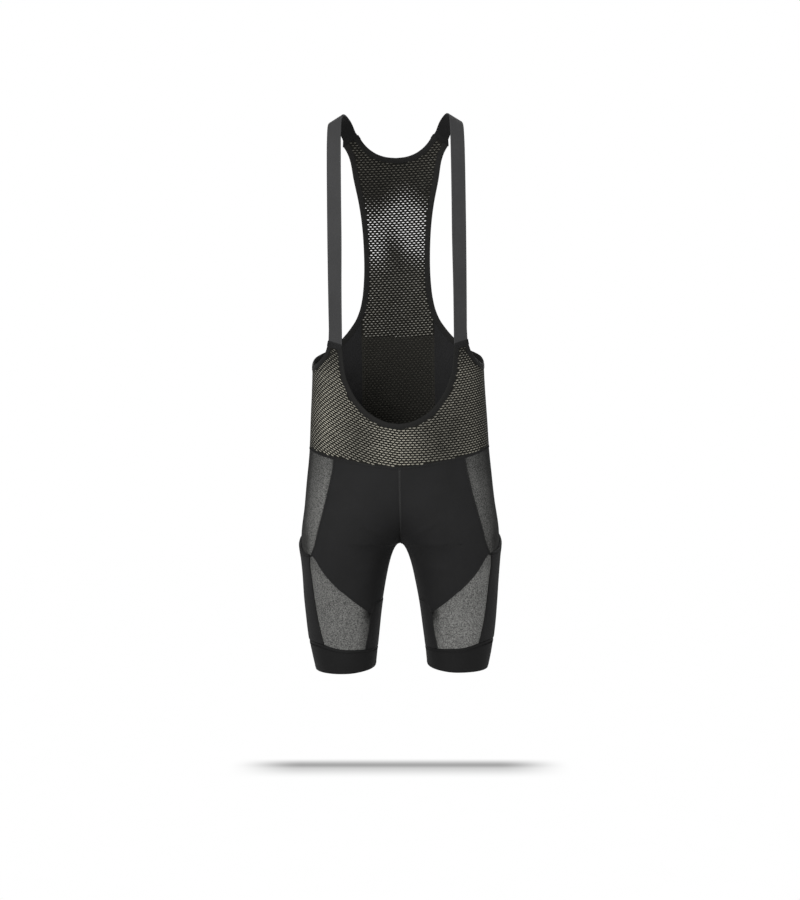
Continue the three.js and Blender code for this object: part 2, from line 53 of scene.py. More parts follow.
# height, half width, front depth, back depth
BODY = (
    (20, 148, 66, 68), (-40, 154, 88, 92), (-150, 157, 106, 106), (-270, 149, 108, 103),
    (-400, 141, 103, 96), (-480, 144, 104, 93), (-560, 148.5, 105, 97),
    (-640, 156.5, 107, 110), (-690, 162.5, 104, 115), (-733, 162, 98, 106),
    (-774, 159.5, 92, 92), (-804, 157.5, 87, 82), (-843, 153.8, 81, 71),
    (-883, 148, 75, 63), (-930, 138, 68, 57),
)
# angle, height
WAIST_SEAM = ((90, -585), (76, -580.5), (62, -574), (47, -567.5), (16, -553), (0, -550),
              (-30, -553), (-60, -558), (-90, -561))
HEM_TOP = ((-180, -878), (-90, -873), (-58, -870), (0, -866), (30, -866), (54, -869),
           (69, -873), (93, -878), (180, -878))
HEM_BOTTOM = ((-180, -908), (-135, -911.5), (-90, -914.5), (0, -914.5), (90, -916.5),
              (135, -913), (180, -908))
MESH_BACK_EDGE = ((-28, -553), (-33, -620), (-45, -700))
POCKET_BACK_EDGE = ((-45, -700), (-54, -735), (-58, -800), (-58, -870))
POCKET_TOP = ((20, -725), (8, -717), (-4, -707), (-20, -703))
# x, height
ARMHOLE_FRONT = ((112, -380), (114.5, -388.5), (117.5, -397), (122.5, -405), (129, -411),
                 (137, -416))
ARMHOLE_BACK = ((140.3, -407), (136.8, -400), (130, -394.5), (120, -388.5), (97, -369), (75, -341),
                (65.6, -321), (60.5, -300), (58, -280), (56.2, -239), (58.8, -178),
                (64, -137), (72.4, -96), (77.5, -66), (82.5, -52), (89.5, -40))
SCOOP = ((90, -386), (89.5, -398), (85.5, -433.5), (77, -457), (64, -479),
         (42.5, -500), (17.5, -512), (0, -514.5))
BACK_NECK = ((63.5, -21), (59, -28.5), (52.5, -37), (43, -45.5), (31, -52.5), (16, -57),
             (0, -58.5))
SIDE_MESH_FRONT = ((105.3, -567.5), (110, -598), (120.3, -640), (128.4, -670),
                   (135.6, -698), (140, -713), (146, -727))
FRONT_PANEL_LOWER = ((146, -727), (142, -725.5), (138.5, -728.5), (135, -734),
                     (128.5, -744.5), (118.5, -758), (104.5, -773), (90, -785.5),
                     (75, -798.5), (60, -810.5), (48.5, -820))
THIGH_MESH_OUTER = ((146, -727), (146.6, -737.5), (143.2, -767.5), (139, -800),
                    (133.4, -835), (124.7, -869))
THIGH_MESH_INNER = ((48.5, -820), (52, -850), (57.3, -878))
# centreline of the right brace, and the direction across it towards the neck
STRAP_AT = ((100.5, -75, -383), (100.3, -88, -300), (99.7, -95, -220),
            (99.7, -92, -150), (99.8, -80, -92), (99.8, -60, -48), (99, -32, -19),
            (96.3, -4, -9), (91.3, 24, -7.5), (84.2, 52, -14), (76.5, 80, -29.2))
STRAP_ACROSS = ((-0.8, -0.6, 0), (-0.83, -0.56, 0), (-0.88, -0.475, 0),
                (-0.88, -0.47, 0.08), (-0.88, -0.44, 0.18), (-0.87, -0.3, 0.4),
                (-0.85, -0.06, 0.53), (-0.85, 0.02, 0.53), (-0.85, 0.1, 0.52),
                (-0.85, 0.2, 0.49), (-0.79, 0.2, 0.577))
STRAP_WIDTH = 26
MOUTH = 3.2  # how far a thigh pocket's mouth stands open
CROTCH_ARCH = 3.3  # how fast the legs part below the crotch


def column(rows, value):
    """Smooth value of one column of a table, keyed by its first column."""
    k, y = np.array(sorted((r[0], r[value]) for r in rows), float).T
    last = len(k) - 1
    i = np.arange(last + 1)
    a, b = np.maximum(i - 1, 0), np.minimum(i + 1, last)
    slope = (y[b] - y[a]) / (k[b] - k[a])

    def at(x):
        c = np.clip(np.asarray(x, float), k[0], k[-1])
        i = np.clip(np.searchsorted(k, c) - 1, 0, last - 1)
        h = k[i + 1] - k[i]
        s = (c - k[i]) / h
        return (y[i] * (2 * s**3 - 3 * s**2 + 1) + slope[i] * h * (s**3 - 2 * s**2 + s)
                + y[i + 1] * (3 * s**2 - 2 * s**3) + slope[i + 1] * h * (s**3 - s**2))

    return at


side_at, front_at, back_at = (column(BODY, i) for i in (1, 2, 3))
waist_at, hem_top_at, hem_bottom_at = (column(rows, 1) for rows in (
    WAIST_SEAM, HEM_TOP, HEM_BOTTOM))


def waist_z(angle):
    """Height of the waist seam at any angle of the front or the back."""
    a = np.asarray(angle, float)
    return waist_at(np.where(a > 90, 180 - a, np.where(a < -90, -180 - a, a)))


def section(z):
    """Middle and half width of one half's section."""
    side = side_at(z)
    left = np.clip(1 - (z - CROTCH_Z) / (WAIST_FRONT_Z - CROTCH_Z), 0, 1)
    half = side / (1 + left**1.6)
    below = np.maximum(CROTCH_Z - z, 0)
    inner = CROTCH_ARCH * np.sqrt(below) - 0.02 * below
    leg = z <= CROTCH_Z
    return (np.where(leg, (side + inner) / 2, side - half),
            np.where(leg, (side - inner) / 2, half))


def bend(v, power):
    return np.sign(v) * np.abs(v) ** power


def form(a, z):
    """Point of the body form at an angle and a height."""
    a, z = np.broadcast_arrays(np.asarray(a, float), np.asarray(z, float))
    middle, half = section(z)
    c, s = np.cos(np.radians(a)), np.sin(np.radians(a))
    depth = np.where(s > 0, front_at(z), back_at(z))
    return np.stack([middle + half * bend(c, 2 / SQUARENESS),
                     -depth * bend(s, 2 / SQUARENESS), z], -1)


def unit(v):
    return v / np.maximum(np.linalg.norm(v, axis=-1, keepdims=True), 1e-9)


def normal(a, z):
    around = form(a + 0.5, z) - form(a - 0.5, z)
    up = form(a, z + 0.2) - form(a, z - 0.2)
    return unit(np.cross(up, around))


def angle_of(p):
    middle, half = section(p[..., 2])
    c = (p[..., 0] - middle) / half
    s = -p[..., 1] / np.where(p[..., 1] < 0, front_at(p[..., 2]), back_at(p[..., 2]))
    return np.degrees(np.arctan2(bend(s, SQUARENESS / 2), bend(c, SQUARENESS / 2)))


def angle_at_x(x, z, sign):
    middle, half = section(np.asarray(z, float))
    c = np.clip((x - middle) / half, -1, 1)
    return sign * np.degrees(np.arccos(bend(c, SQUARENESS / 2)))


def on_front(rows):
    return [(float(angle_at_x(x, z, 1)), z) for x, z in rows]


def on_back(rows):
    return [(float(angle_at_x(x, z, -1)), z) for x, z in rows]


def centre_angle(z):
    """Angle of the middle seam: front centre above the crotch, inside leg below it."""
    z = np.asarray(z, float)
    middle, half = section(z)
    share = np.clip(middle / half, 0, 1) ** (SQUARENESS / 2)
    inside = np.degrees(np.arccos(-share))
    return np.where(z >= WAIST_FRONT_Z, 90, np.where(z <= CROTCH_Z, 180, inside))


def spline(points, t):
    """Centripetal Catmull-Rom curve, with an equal share of t for each stretch."""
    p = np.asarray(points, float)
    p = np.vstack([2 * p[0] - p[1], p, 2 * p[-1] - p[-2]])
    n = len(p) - 3
    at = np.clip(np.asarray(t, float), 0, 1) * n
    i = np.minimum(at.astype(int), n - 1)
    w = (at - i)[:, None]
    x0, x1, x2, x3 = (p[i + k] for k in range(4))

    def gap(a, b):
        return np.maximum((((b - a) ** 2).sum(-1)) ** 0.25, 1e-4)[:, None]

    d0, d1, d2 = gap(x0, x1), gap(x1, x2), gap(x2, x3)
    t1 = ((x1 - x0) / d0 - (x2 - x0) / (d0 + d1) + (x2 - x1) / d1) * d1
    t2 = ((x2 - x1) / d1 - (x3 - x1) / (d1 + d2) + (x3 - x2) / d2) * d1
    return (x1 + t1 * w + (-3 * x1 + 3 * x2 - 2 * t1 - t2) * w**2
            + (2 * x1 - 2 * x2 + t1 + t2) * w**3)


def run(points):
    """Length along a line of points, up to each."""
    return np.r_[0, np.cumsum(np.linalg.norm(np.diff(points, axis=0), axis=1))]


def length_of(line):
    return run(form(line[:, 0], line[:, 1]))[-1]


def respace(line, count=LINE_POINTS):
    at = run(form(line[:, 0], line[:, 1]))
    want = np.linspace(0, at[-1], count)
    return np.stack([np.interp(want, at, line[:, k]) for k in (0, 1)], 1)


def trace(points, count=LINE_POINTS):
    return respace(spline(points, np.linspace(0, 1, len(points) * 24)), count)


def beside(line, distance):
    """The line beside another on the form, on the left of its direction of travel."""
    a, z = line.T
    p, n = form(a, z), normal(a, z)
    along = unit(np.gradient(p, axis=0))
    q = p + unit(np.cross(n, along)) * np.asarray(distance, float).reshape(-1, 1)
    near = a + (angle_of(q) - a + 180) % 360 - 180
    return np.stack([near, q[:, 2]], 1)


def mirrored(line):
    return np.stack([180 - line[:, 0], line[:, 1]], 1)


def to_left_back(line):
    return np.stack([-180 - line[:, 0], line[:, 1]], 1)


def join(*lines):
    """Lines end to end, each shared point once."""
    return np.vstack([lines[0]] + [line[1:] for line in lines[1:]])


def level(start, stop, z, count=LINE_POINTS):
    a = np.linspace(start, stop, count)
    return np.stack([a, np.full(count, float(z))], 1)


def hem_line(start, stop, count=LINE_POINTS):
    a = np.linspace(start, stop, count)
    return np.stack([a, hem_top_at(a)], 1)


def upright(angle, top, bottom, count=LINE_POINTS):
    z = np.linspace(top, bottom, count)
    return np.stack([np.full(count, float(angle)), z], 1)


def waist_line(start, stop, count=LINE_POINTS):
    a = np.linspace(start, stop, count)
    return np.stack([a, waist_z(a)], 1)


def pull_end(line, target, reach=14):
    """Draws the first stretch of a line over to a target point."""
    at = run(form(line[:, 0], line[:, 1]))
    share = np.clip(1 - at / reach, 0, 1)[:, None]
    return line + (np.asarray(target) - line[0]) * share


# ---------------------------------------------------------------- seams and edges
arm_edge = trace(on_front(ARMHOLE_FRONT) + [(4, -415)] + on_back(ARMHOLE_BACK), 601)
scoop_half = trace(on_front(SCOOP))
neck_half = trace(on_back(BACK_NECK), 161)
arm_seam = beside(arm_edge, -BINDING_WIDTH)
scoop_seam = beside(scoop_half, BINDING_WIDTH)
neck_seam = beside(neck_half, -BINDING_WIDTH)
scoop_seam[-1, 0], neck_seam[-1, 0] = 90, -90
arm_seam = pull_end(arm_seam, arm_edge[0] * 0.67 + scoop_half[0] * 0.33)
arm_seam = pull_end(arm_seam[::-1], arm_edge[-1] * 0.68 + neck_half[0] * 0.32)[::-1]
scoop_seam = pull_end(scoop_seam, scoop_half[0] * 0.67 + arm_edge[0] * 0.33)
neck_seam = pull_end(neck_seam, neck_half[0] * 0.68 + arm_edge[-1] * 0.32)
scoop_edge = join(scoop_half, mirrored(scoop_half)[::-1])
scoop_full = join(scoop_seam, mirrored(scoop_seam)[::-1])
neck_edge = join(neck_half, to_left_back(neck_half)[::-1])
neck_full = join(neck_seam, to_left_back(neck_seam)[::-1])

under = int(np.argmax(arm_seam[:, 0] < SIDE_SEAM_ANGLE))
arm_front = arm_seam[:under]
past = arm_seam[under:]
meets = int(np.argmax(form(past[:, 0], past[:, 1])[:, 0] < BACK_SEAM_X))
arm_under, arm_to_neck = past[:meets], past[meets - 1:]
back_straight = trace([tuple(arm_under[-1])] + on_back(
    ((BACK_SEAM_X, -375), (BACK_SEAM_X, -470), (BACK_SEAM_X, float(waist_z(-65))))))
back_foot = back_straight[-1, 0]

mesh_front = trace(on_front(SIDE_MESH_FRONT))
lower_edge = trace(on_front(FRONT_PANEL_LOWER))
inner_top = trace([tuple(lower_edge[-1]), (141, -807.5), (153, INNER_SEAM_Z),
                   (180, INNER_SEAM_Z)])
mesh_back = trace(MESH_BACK_EDGE)
pocket_back = trace(POCKET_BACK_EDGE)
pocket_line = trace([tuple(mesh_front[-1]), *POCKET_TOP, tuple(mesh_back[-1])])
thigh_outer = trace(on_front(THIGH_MESH_OUTER))
thigh_inner = trace(on_front(THIGH_MESH_INNER))


def middle_seam(top, bottom, sign):
    z = np.linspace(top, bottom, 900)
    return respace(np.stack([sign * centre_angle(z), z], 1))


centre_front = middle_seam(WAIST_FRONT_Z, INNER_SEAM_Z, 1)
centre_back = middle_seam(float(waist_z(-90)), HEM_TOP_Z, -1)

# ---------------------------------------------------------------- folds
# x, z of both ends, half width, height, and 1 for the front or -1 for the back
CREASES = (
    (12, -700, 70, -664, 5.5, 0.9, 1), (-12, -702, -66, -672, 5.0, 0.8, 1),
    (16, -712, 92, -708, 6.5, 0.8, 1), (-18, -714, -86, -702, 6.0, 0.7, 1),
    (34, -742, 88, -752, 6.0, 0.6, 1), (-32, -738, -82, -756, 6.0, 0.6, 1),
    (24, -606, 84, -598, 9.0, 0.6, 1), (-20, -612, -78, -600, 9.0, 0.6, 1),
    (112, -590, 140, -640, 7.0, 0.8, 1), (-114, -596, -142, -650, 7.0, 0.8, 1),
    (70, -830, 126, -846, 6.0, 0.6, 1), (-66, -836, -124, -826, 6.0, 0.6, 1),
    (60, -860, 132, -868, 4.5, 0.6, 1), (-62, -864, -130, -858, 4.5, 0.6, 1),
    (14, -700, 84, -742, 7.0, 1.2, -1), (-14, -702, -80, -746, 7.0, 1.2, -1),
    (18, -744, 110, -764, 7.0, 1.1, -1), (-16, -748, -104, -770, 7.0, 1.0, -1),
    (8, -600, 74, -590, 8.0, 0.7, -1), (-10, -606, -70, -594, 8.0, 0.7, -1),
    (70, -430, 130, -446, 7.0, 0.7, -1), (-72, -438, -128, -430, 7.0, 0.7, -1),
    (30, -820, 100, -832, 6.0, 0.7, -1), (-28, -826, -96, -820, 6.0, 0.7, -1),
)


def drape(p):
    """How far the cloth stands out from the form at a real point."""
    x, y, z = p[..., 0], p[..., 1], p[..., 2]
    rise = 0.30 * np.sin(x / 19 + 1.4 * np.sin(z / 47)) * np.sin(z / 31 + y / 60)
    rise = rise + 0.16 * np.sin(x / 9.5 - z / 14 + y / 23)
    for x1, z1, x2, z2, half, height, face in CREASES:
        dx, dz = x2 - x1, z2 - z1
        t = ((x - x1) * dx + (z - z1) * dz) / (dx * dx + dz * dz)
        s = np.clip(t, 0, 1)
        off = np.hypot(x - x1 - s * dx, z - z1 - s * dz) / half
        here = np.clip(-face * y / 18, 0, 1) * np.sin(np.pi * np.clip(t, 0, 1)) ** 0.7
        rise = rise + height * here * np.exp(-off * off)
    return rise


def placed(a, z, h, side):
    """Real points at heights h over the draped form, on the right side or the left."""
    p, n = form(a, z), normal(a, z)
    if side < 0:
        p, n = p * (-1, 1, 1), n * (-1, 1, 1)
    return p + n * (h + drape(p))[..., None]


# ---------------------------------------------------------------- mesh building
scene = bpy.context.scene
ROOT = "root"


def volume(verts, faces):
    six = 0.0
    for f in faces:
        a = verts[f[:, 0]]
        for k in range(1, f.shape[1] - 1):
            six += np.einsum("ij,ij->", a, np.cross(verts[f[:, k]], verts[f[:, k + 1]]))
    return six


def add_piece(name, verts, faces, mats, nodes=(), uv=None, shade=None,
              face_mats=None, sharp=42):
    """A closed mesh in millimetres, as an object in metres that rides on the frame."""
    if volume(verts, faces) < 0:
        faces = [f[:, ::-1] for f in faces]
    mesh = bpy.data.meshes.new(name)
    mesh.from_pydata((verts / 1000).tolist(), [], [q for f in faces for q in f.tolist()])
    for mat in mats:
        mesh.materials.append(mat)
    if face_mats is not None:
        mesh.polygons.foreach_set("material_index", np.concatenate(face_mats).astype("i"))
    corner = np.empty(len(mesh.loops), "i")
    mesh.loops.foreach_get("vertex_index", corner)
    if uv is not None:
        layer = mesh.uv_layers.new(name="cloth")
        layer.data.foreach_set("uv", (uv[corner] / 1000).astype("f").ravel())
    tone = mesh.attributes.new("shade", "FLOAT", "POINT")
    tone.data.foreach_set("value", (np.ones(len(verts)) if shade is None else shade)
                          .astype("f"))
    mesh.polygons.foreach_set("use_smooth", np.ones(len(mesh.polygons), bool))
    mesh.set_sharp_from_angle(angle=math.radians(sharp))
    mesh.update()
    obj = bpy.data.objects.new(name, mesh)
    scene.collection.objects.link(obj)
    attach(obj, ROOT)
    if nodes:
        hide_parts(*nodes)
    return obj


def grid_faces(rows, cols, loop=False):
    """Both faces and the rims of a wall whose points are two grids, outer then inner."""
    across = cols if loop else cols - 1
    i, j = np.meshgrid(np.arange(rows - 1), np.arange(across), indexing="ij")
    i, j = i.ravel(), j.ravel()
    back = rows * cols

    def at(face, row, col):
        return face * back + row * cols + col % cols

    outer = np.stack([at(0, i, j), at(0, i + 1, j), at(0, i + 1, j + 1), at(0, i, j + 1)], 1)
    inner = np.stack([at(1, i, j), at(1, i, j + 1), at(1, i + 1, j + 1), at(1, i + 1, j)], 1)
    j = np.arange(across)
    e = rows - 1
    zero = np.zeros_like(j)
    rims = [np.stack([at(0, zero, j), at(0, zero, j + 1), at(1, zero, j + 1),
                      at(1, zero, j)], 1),
            np.stack([at(0, e, j), at(1, e, j), at(1, e, j + 1), at(0, e, j + 1)], 1)]
    if not loop:
        i = np.arange(rows - 1)
        c = cols - 1
        rims.append(np.stack([at(0, i, 0), at(1, i, 0), at(1, i + 1, 0), at(0, i + 1, 0)], 1))
        rims.append(np.stack([at(0, i, c), at(0, i + 1, c), at(1, i + 1, c), at(1, i, c)], 1))
    return outer, inner, np.vstack(rims)


def spread(length, step=4.0, near=(0.35, 0.9, 1.8, 3.0)):
    """Shares of a length from 0 to 1, closer together by both ends."""
    inside = max(2, int(round((length - 2 * near[-1]) / step)))
    mid = np.linspace(near[-1], length - near[-1], inside + 1)
    ends = np.array(near[:-1])
    at = np.r_[0, ends, mid, length - ends[::-1], length]
    gap = SEAM_GAP / 2
    return (gap + at * (length - 2 * gap) / length) / length


def sample(line, t):
    at = np.linspace(0, 1, len(line))
    return np.stack([np.interp(t, at, line[:, k]) for k in (0, 1)], 1)


def patch(top, bottom, first, last, u, v, share=False):
    """A four-sided sheet on the form. In shares the angle counts from the middle seam."""
    def enter(line):
        return line / np.stack([centre_angle(line[:, 1]), np.ones(len(line))], 1) \
            if share else line

    T, B, F, L = (enter(sample(line, t))
                  for line, t in ((top, u), (bottom, u), (first, v), (last, v)))
    c00, c01, c10, c11 = (enter(sample(line, np.array([t])))[0] for line, t in (
        (top, 0.0), (top, 1.0), (bottom, 0.0), (bottom, 1.0)))
    u, v = u[None, :, None], v[:, None, None]
    at = (T[None] * (1 - v) + B[None] * v + F[:, None] * (1 - u) + L[:, None] * u
          - (c00 * (1 - u) + c01 * u) * (1 - v) - (c10 * (1 - u) + c11 * u) * v)
    a, z = at[..., 0], at[..., 1]
    return (a * centre_angle(z) if share else a), z


def lengths(p):
    """Lengths along the rows and down the columns of a grid of points."""
    across = np.zeros(p.shape[:2])
    down = np.zeros(p.shape[:2])
    across[:, 1:] = np.cumsum(np.linalg.norm(np.diff(p, axis=1), axis=2), 1)
    down[1:] = np.cumsum(np.linalg.norm(np.diff(p, axis=0), axis=2), 0)
    return across, down


def edge_distance(across, down, loop=False):
    near = np.minimum(down, down[-1:] - down)
    return near if loop else np.minimum(near, np.minimum(across, across[:, -1:] - across))


def area_of(p):
    d1, d2 = p[1:, 1:] - p[:-1, :-1], p[1:, :-1] - p[:-1, 1:]
    return float(np.linalg.norm(np.cross(d1, d2), axis=2).sum() / 2)


LEAST_CUT = 10.5


def declare(width, length, area):
    """Raises a flat cut's width and length in millimetres to LEAST_CUT and caps its area at their
    product; nothing is kept or returned.
    """
    width, length = max(width, LEAST_CUT), max(length, LEAST_CUT)
    area = min(area, width * length)


def panel(node, sides, lines, mats, out=0.0, inn=1.3, share=False,
          step=4.0, shade=None, dip=0.45, extra=None, size=None):
    """A sewn panel: a thin shell on the form whose edges sink into the seams."""
    top, bottom, first, last = lines
    width = size[0] if size else max(length_of(top), length_of(bottom))
    height = size[1] if size else max(length_of(first), length_of(last))
    u, v = spread(width, step), spread(height, step)
    a, z = patch(top, bottom, first, last, u, v, share)
    flat = form(a, z)
    across, down = lengths(flat)
    sink = dip * (1 - np.clip(edge_distance(across, down) / 2.6, 0, 1)) ** 2
    lift = extra(*np.meshgrid(v, u, indexing="ij")) if extra else 0.0
    made = []
    for side in sides:
        real = flat * (side, 1, 1)
        top_face = placed(a, z, out + lift - sink, side)
        low_face = placed(a, z, lift - inn + 0.3 * sink, side)
        verts = np.concatenate([top_face.reshape(-1, 3), low_face.reshape(-1, 3)])
        outer, inner, rims = grid_faces(*a.shape)
        uv = np.stack([across * side, -down], -1).reshape(-1, 2)
        tone = None if shade is None else np.tile(shade(real).ravel(), 2)
        end = "" if len(sides) == 1 else ("_right" if side > 0 else "_left")
        obj = add_piece(f"{node}{end}_cloth", verts, [outer, inner, rims], mats,
                        (node + end,), np.tile(uv, (2, 1)), tone)
        declare(across[:, -1].max(), down[-1].max(), area_of(flat))
        made.append(obj)
    return made


def tube_section(name, edge, seam, profile, sides, mats, node=None, width=None,
                 closed=False):
    """A strip between two lines on the form, with a closed section of (share, height)."""
    count = max(24, int(length_of(edge) / 2.2))
    t = np.linspace(0, 1, count)
    near, far = sample(edge, t), sample(seam, t)
    q = np.array([s for s, _ in profile])[None, :, None]
    h = np.array([h for _, h in profile])[None, :]
    at = near[:, None] * (1 - q) + far[:, None] * q
    k = len(profile)
    made = []
    for side in sides:
        p = placed(at[..., 0], at[..., 1], np.broadcast_to(h, at.shape[:2]), side)
        i, j = np.meshgrid(np.arange(count - 1), np.arange(k), indexing="ij")
        i, j = i.ravel(), j.ravel()
        n = (j + 1) % k
        skin = np.stack([i * k + j, (i + 1) * k + j, (i + 1) * k + n, i * k + n], 1)
        start = np.arange(k)[None, :]
        faces = [skin, start[:, ::-1].copy(), start + (count - 1) * k]
        if closed:
            i = np.full(k, count - 1)
            j = np.arange(k)
            n = (j + 1) % k
            faces = [np.vstack([skin, np.stack([i * k + j, j, n, i * k + n], 1)])]
        along = run(p[:, 0])[:, None] * np.ones((1, k))
        girth = np.r_[0, np.cumsum(np.linalg.norm(np.diff(p[count // 2], axis=0), axis=1))]
        uv = np.stack([along, np.ones((count, 1)) * girth[None]], -1).reshape(-1, 2)
        end = "" if len(sides) == 1 else ("_right" if side > 0 else "_left")
        label = f"{name}{end}"
        obj = add_piece(label + ("_cloth" if node else ""), p.reshape(-1, 3), faces, mats,
                        (node + end,) if node else (), uv)
        if width:
            length = float(along[-1, 0])
            declare(width, length, width * length)
        made.append(obj)
    return made


def tube(paths, radius):
    """Four-sided thread along each path of points. Returns vertices and faces."""
    verts, skins, ends, at = [], [], [], 0
    for path, up in paths:
        along = unit(np.gradient(path, axis=0))
        across = unit(np.cross(along, up))
        up = unit(np.cross(across, along))
        ring = [path + radius * (c * across + s * up)
                for c, s in ((1, 0), (0, 1), (-1, 0), (0, -1))]
        n = len(path)
        verts.append(np.stack(ring, 1).reshape(-1, 3))
        i, j = np.meshgrid(np.arange(n - 1), np.arange(4), indexing="ij")
        i, j = i.ravel(), j.ravel()
        k = (j + 1) % 4
        skins.append(at + np.stack([i * 4 + j, i * 4 + k, (i + 1) * 4 + k,
                                    (i + 1) * 4 + j], 1))
        ends.append(at + np.array([[3, 2, 1, 0]]))
        ends.append(at + (n - 1) * 4 + np.array([[0, 1, 2, 3]]))
        at += n * 4
    return np.concatenate(verts), [np.vstack(skins), np.vstack(ends)]


def thread_path(edge, seam, side, shares, heights, pitch):
    """Path that steps along a strip, through the given shares and heights in turn."""
    steps = max(4, int(length_of(edge) / pitch))
    t = np.linspace(0.002, 0.998, steps)
    k = np.arange(steps)
    q = np.array(shares)[k % len(shares)][:, None]
    h = np.array(heights)[k % len(heights)]
    at = sample(edge, t) * (1 - q) + sample(seam, t) * q
    real = placed(at[:, 0], at[:, 1], h, side)
    n = normal(at[:, 0], at[:, 1])
    return real, n * (side, 1, 1)


# ---------------------------------------------------------------- materials
def node(tree, kind, ins=None, **props):
    n = tree.nodes.new(kind)
    for key, value in props.items():
        setattr(n, key, value)
    for key, value in (ins or {}).items():
        if isinstance(value, bpy.types.NodeSocket):
            tree.links.new(value, n.inputs[key])
        else:
            n.inputs[key].default_value = value
    return n


def math_node(tree, operation, a, b=0.0, clamp=False):
    return node(tree, "ShaderNodeMath", {0: a, 1: b}, operation=operation,
                use_clamp=clamp).outputs[0]


def remap(tree, value, low, high, to_low, to_high):
    return node(tree, "ShaderNodeMapRange", {"Value": value, "From Min": low,
                                             "From Max": high, "To Min": to_low,
                                             "To Max": to_high}).outputs[0]


def cloth_material(name, dark, light, pitch, rough=0.7, sheen=0.03, specular=0.18,
                   bump=0.08, stipple=0.0, blotch=0.08, rib=0.0, speck=1.6):
    """Knitted or woven cloth. pitch is the size of one loop across and along, in mm."""
    mat = bpy.data.materials.new(name)
    mat.use_nodes = True
    tree = mat.node_tree
    tree.nodes.clear()
    uv = node(tree, "ShaderNodeUVMap", uv_map="cloth").outputs[0]
    place = node(tree, "ShaderNodeTexCoord").outputs["Object"]
    grid = node(tree, "ShaderNodeMapping",
                {"Vector": uv, "Scale": (1000 / pitch[0], 1000 / pitch[1], 1)}).outputs[0]
    part = node(tree, "ShaderNodeSeparateXYZ", {0: grid})
    turn = 2 * math.pi
    loop_x = math_node(tree, "SINE", math_node(tree, "MULTIPLY", part.outputs[0], turn))
    skew = math_node(tree, "ADD", math_node(tree, "MULTIPLY", part.outputs[1], turn),
                     math_node(tree, "MULTIPLY", loop_x, 0.9))
    loop_y = math_node(tree, "SINE", skew)
    knit = math_node(tree, "ADD", math_node(tree, "MULTIPLY", loop_x, 0.5 + rib),
                     math_node(tree, "MULTIPLY", loop_y, 0.5))
    fuzz = node(tree, "ShaderNodeTexNoise", {"Vector": place, "Scale": 1000 / speck,
                                             "Detail": 3.0, "Roughness": 0.6}).outputs[0]
    broad = node(tree, "ShaderNodeTexNoise", {"Vector": place, "Scale": 22.0,
                                              "Detail": 2.0}).outputs[0]
    tone = math_node(tree, "ADD", remap(tree, knit, -1, 1, 0.30, 0.62),
                     remap(tree, fuzz, 0.3, 0.7, -0.22 - stipple, 0.22 + stipple))
    tone = math_node(tree, "ADD", tone, remap(tree, broad, 0.35, 0.65, -blotch, blotch),
                     clamp=True)
    colour = node(tree, "ShaderNodeMix", {0: tone, 6: (*dark, 1), 7: (*light, 1)},
                  data_type="RGBA").outputs[2]
    # The shade attribute scales the colour per point: painted light and shade on the sheer panels
    # and in the nets, and the lighter edge line of the braces.
    level_ = node(tree, "ShaderNodeAttribute", attribute_name="shade").outputs["Fac"]
    colour = node(tree, "ShaderNodeVectorMath", {0: colour, 1: level_},
                  operation="MULTIPLY").outputs[0]
    relief = math_node(tree, "ADD", knit, math_node(tree, "MULTIPLY", fuzz, 1.2))
    bumped = node(tree, "ShaderNodeBump", {"Height": relief, "Strength": 0.55,
                                           "Distance": bump / 1000}).outputs[0]
    shader = node(tree, "ShaderNodeBsdfPrincipled", {
        "Base Color": colour, "Normal": bumped, "Sheen Weight": sheen,
        "Sheen Roughness": 0.5, "Specular IOR Level": specular,
        "Roughness": remap(tree, fuzz, 0.3, 0.7, rough - 0.06, rough + 0.06)})
    out = node(tree, "ShaderNodeOutputMaterial")
    tree.links.new(shader.outputs[0], out.inputs[0])
    return mat


def grey(value, warm=1.0, cool=1.0):
    return (value * warm, value, value * cool)


BLACK = cloth_material("black_stretch_knit", grey(0.0110), grey(0.0222, 1.0, 1.04),
                       (0.62, 0.5), rough=0.68)
DEEP = cloth_material("black_seat_knit", grey(0.012), grey(0.023, 1.0, 1.03),
                      (0.62, 0.5), rough=0.7)
YARN = cloth_material("net_yarn", grey(0.010, 1.03, 0.9), grey(0.021, 1.05, 0.84),
                      (0.5, 0.45), rough=0.74, sheen=0.0, specular=0.12, bump=0.06)
# Painted light: the pale walls inside the net's holes stand in for a lit surface seen through the
# holes.
PAINTED_LIGHT_RIM = cloth_material("net_hole_walls_painted_light", grey(0.40, 1.05, 0.84), grey(0.62, 1.03, 0.86),
                     (0.45, 0.4), rough=0.8, sheen=0.0, specular=0.1, bump=0.03)
SHEER = cloth_material("sheer_mesh", grey(0.055, 1.0, 0.97), grey(0.21, 1.0, 0.96),
                       (1.35, 1.1), rough=0.76, sheen=0.0, specular=0.12, bump=0.12,
                       stipple=0.66, speck=1.7, blotch=0.05)
BINDING = cloth_material("bound_edge", grey(0.009, 1.02, 0.94), grey(0.020, 1.02, 0.95),
                         (0.8, 0.6), rough=0.66, rib=0.2, bump=0.1)
MOUTH_EDGE = cloth_material("pocket_mouth_binding", grey(0.005), grey(0.013), (0.8, 0.6),
                            rough=0.68, rib=0.2, bump=0.1)
ELASTIC = cloth_material("grey_brace_elastic", grey(0.048, 1.0, 1.01),
                         grey(0.078, 1.0, 1.02), (1.1, 1.6), rough=0.72, rib=0.3,
                         bump=0.12, sheen=0.0)
ELASTIC_IN = cloth_material("black_brace_inside", grey(0.010), grey(0.021, 1.0, 1.02),
                            (1.1, 1.6), rough=0.72, rib=0.3, bump=0.12)
HEM = cloth_material("hem_gripper", grey(0.0082), grey(0.0166, 1.0, 1.02), (1.6, 0.7),
                     rough=0.66, rib=0.35, bump=0.1)
TAPE = cloth_material("flatlock_seam", grey(0.014), grey(0.030), (0.9, 0.6),
                      rough=0.66, rib=0.1, bump=0.1)
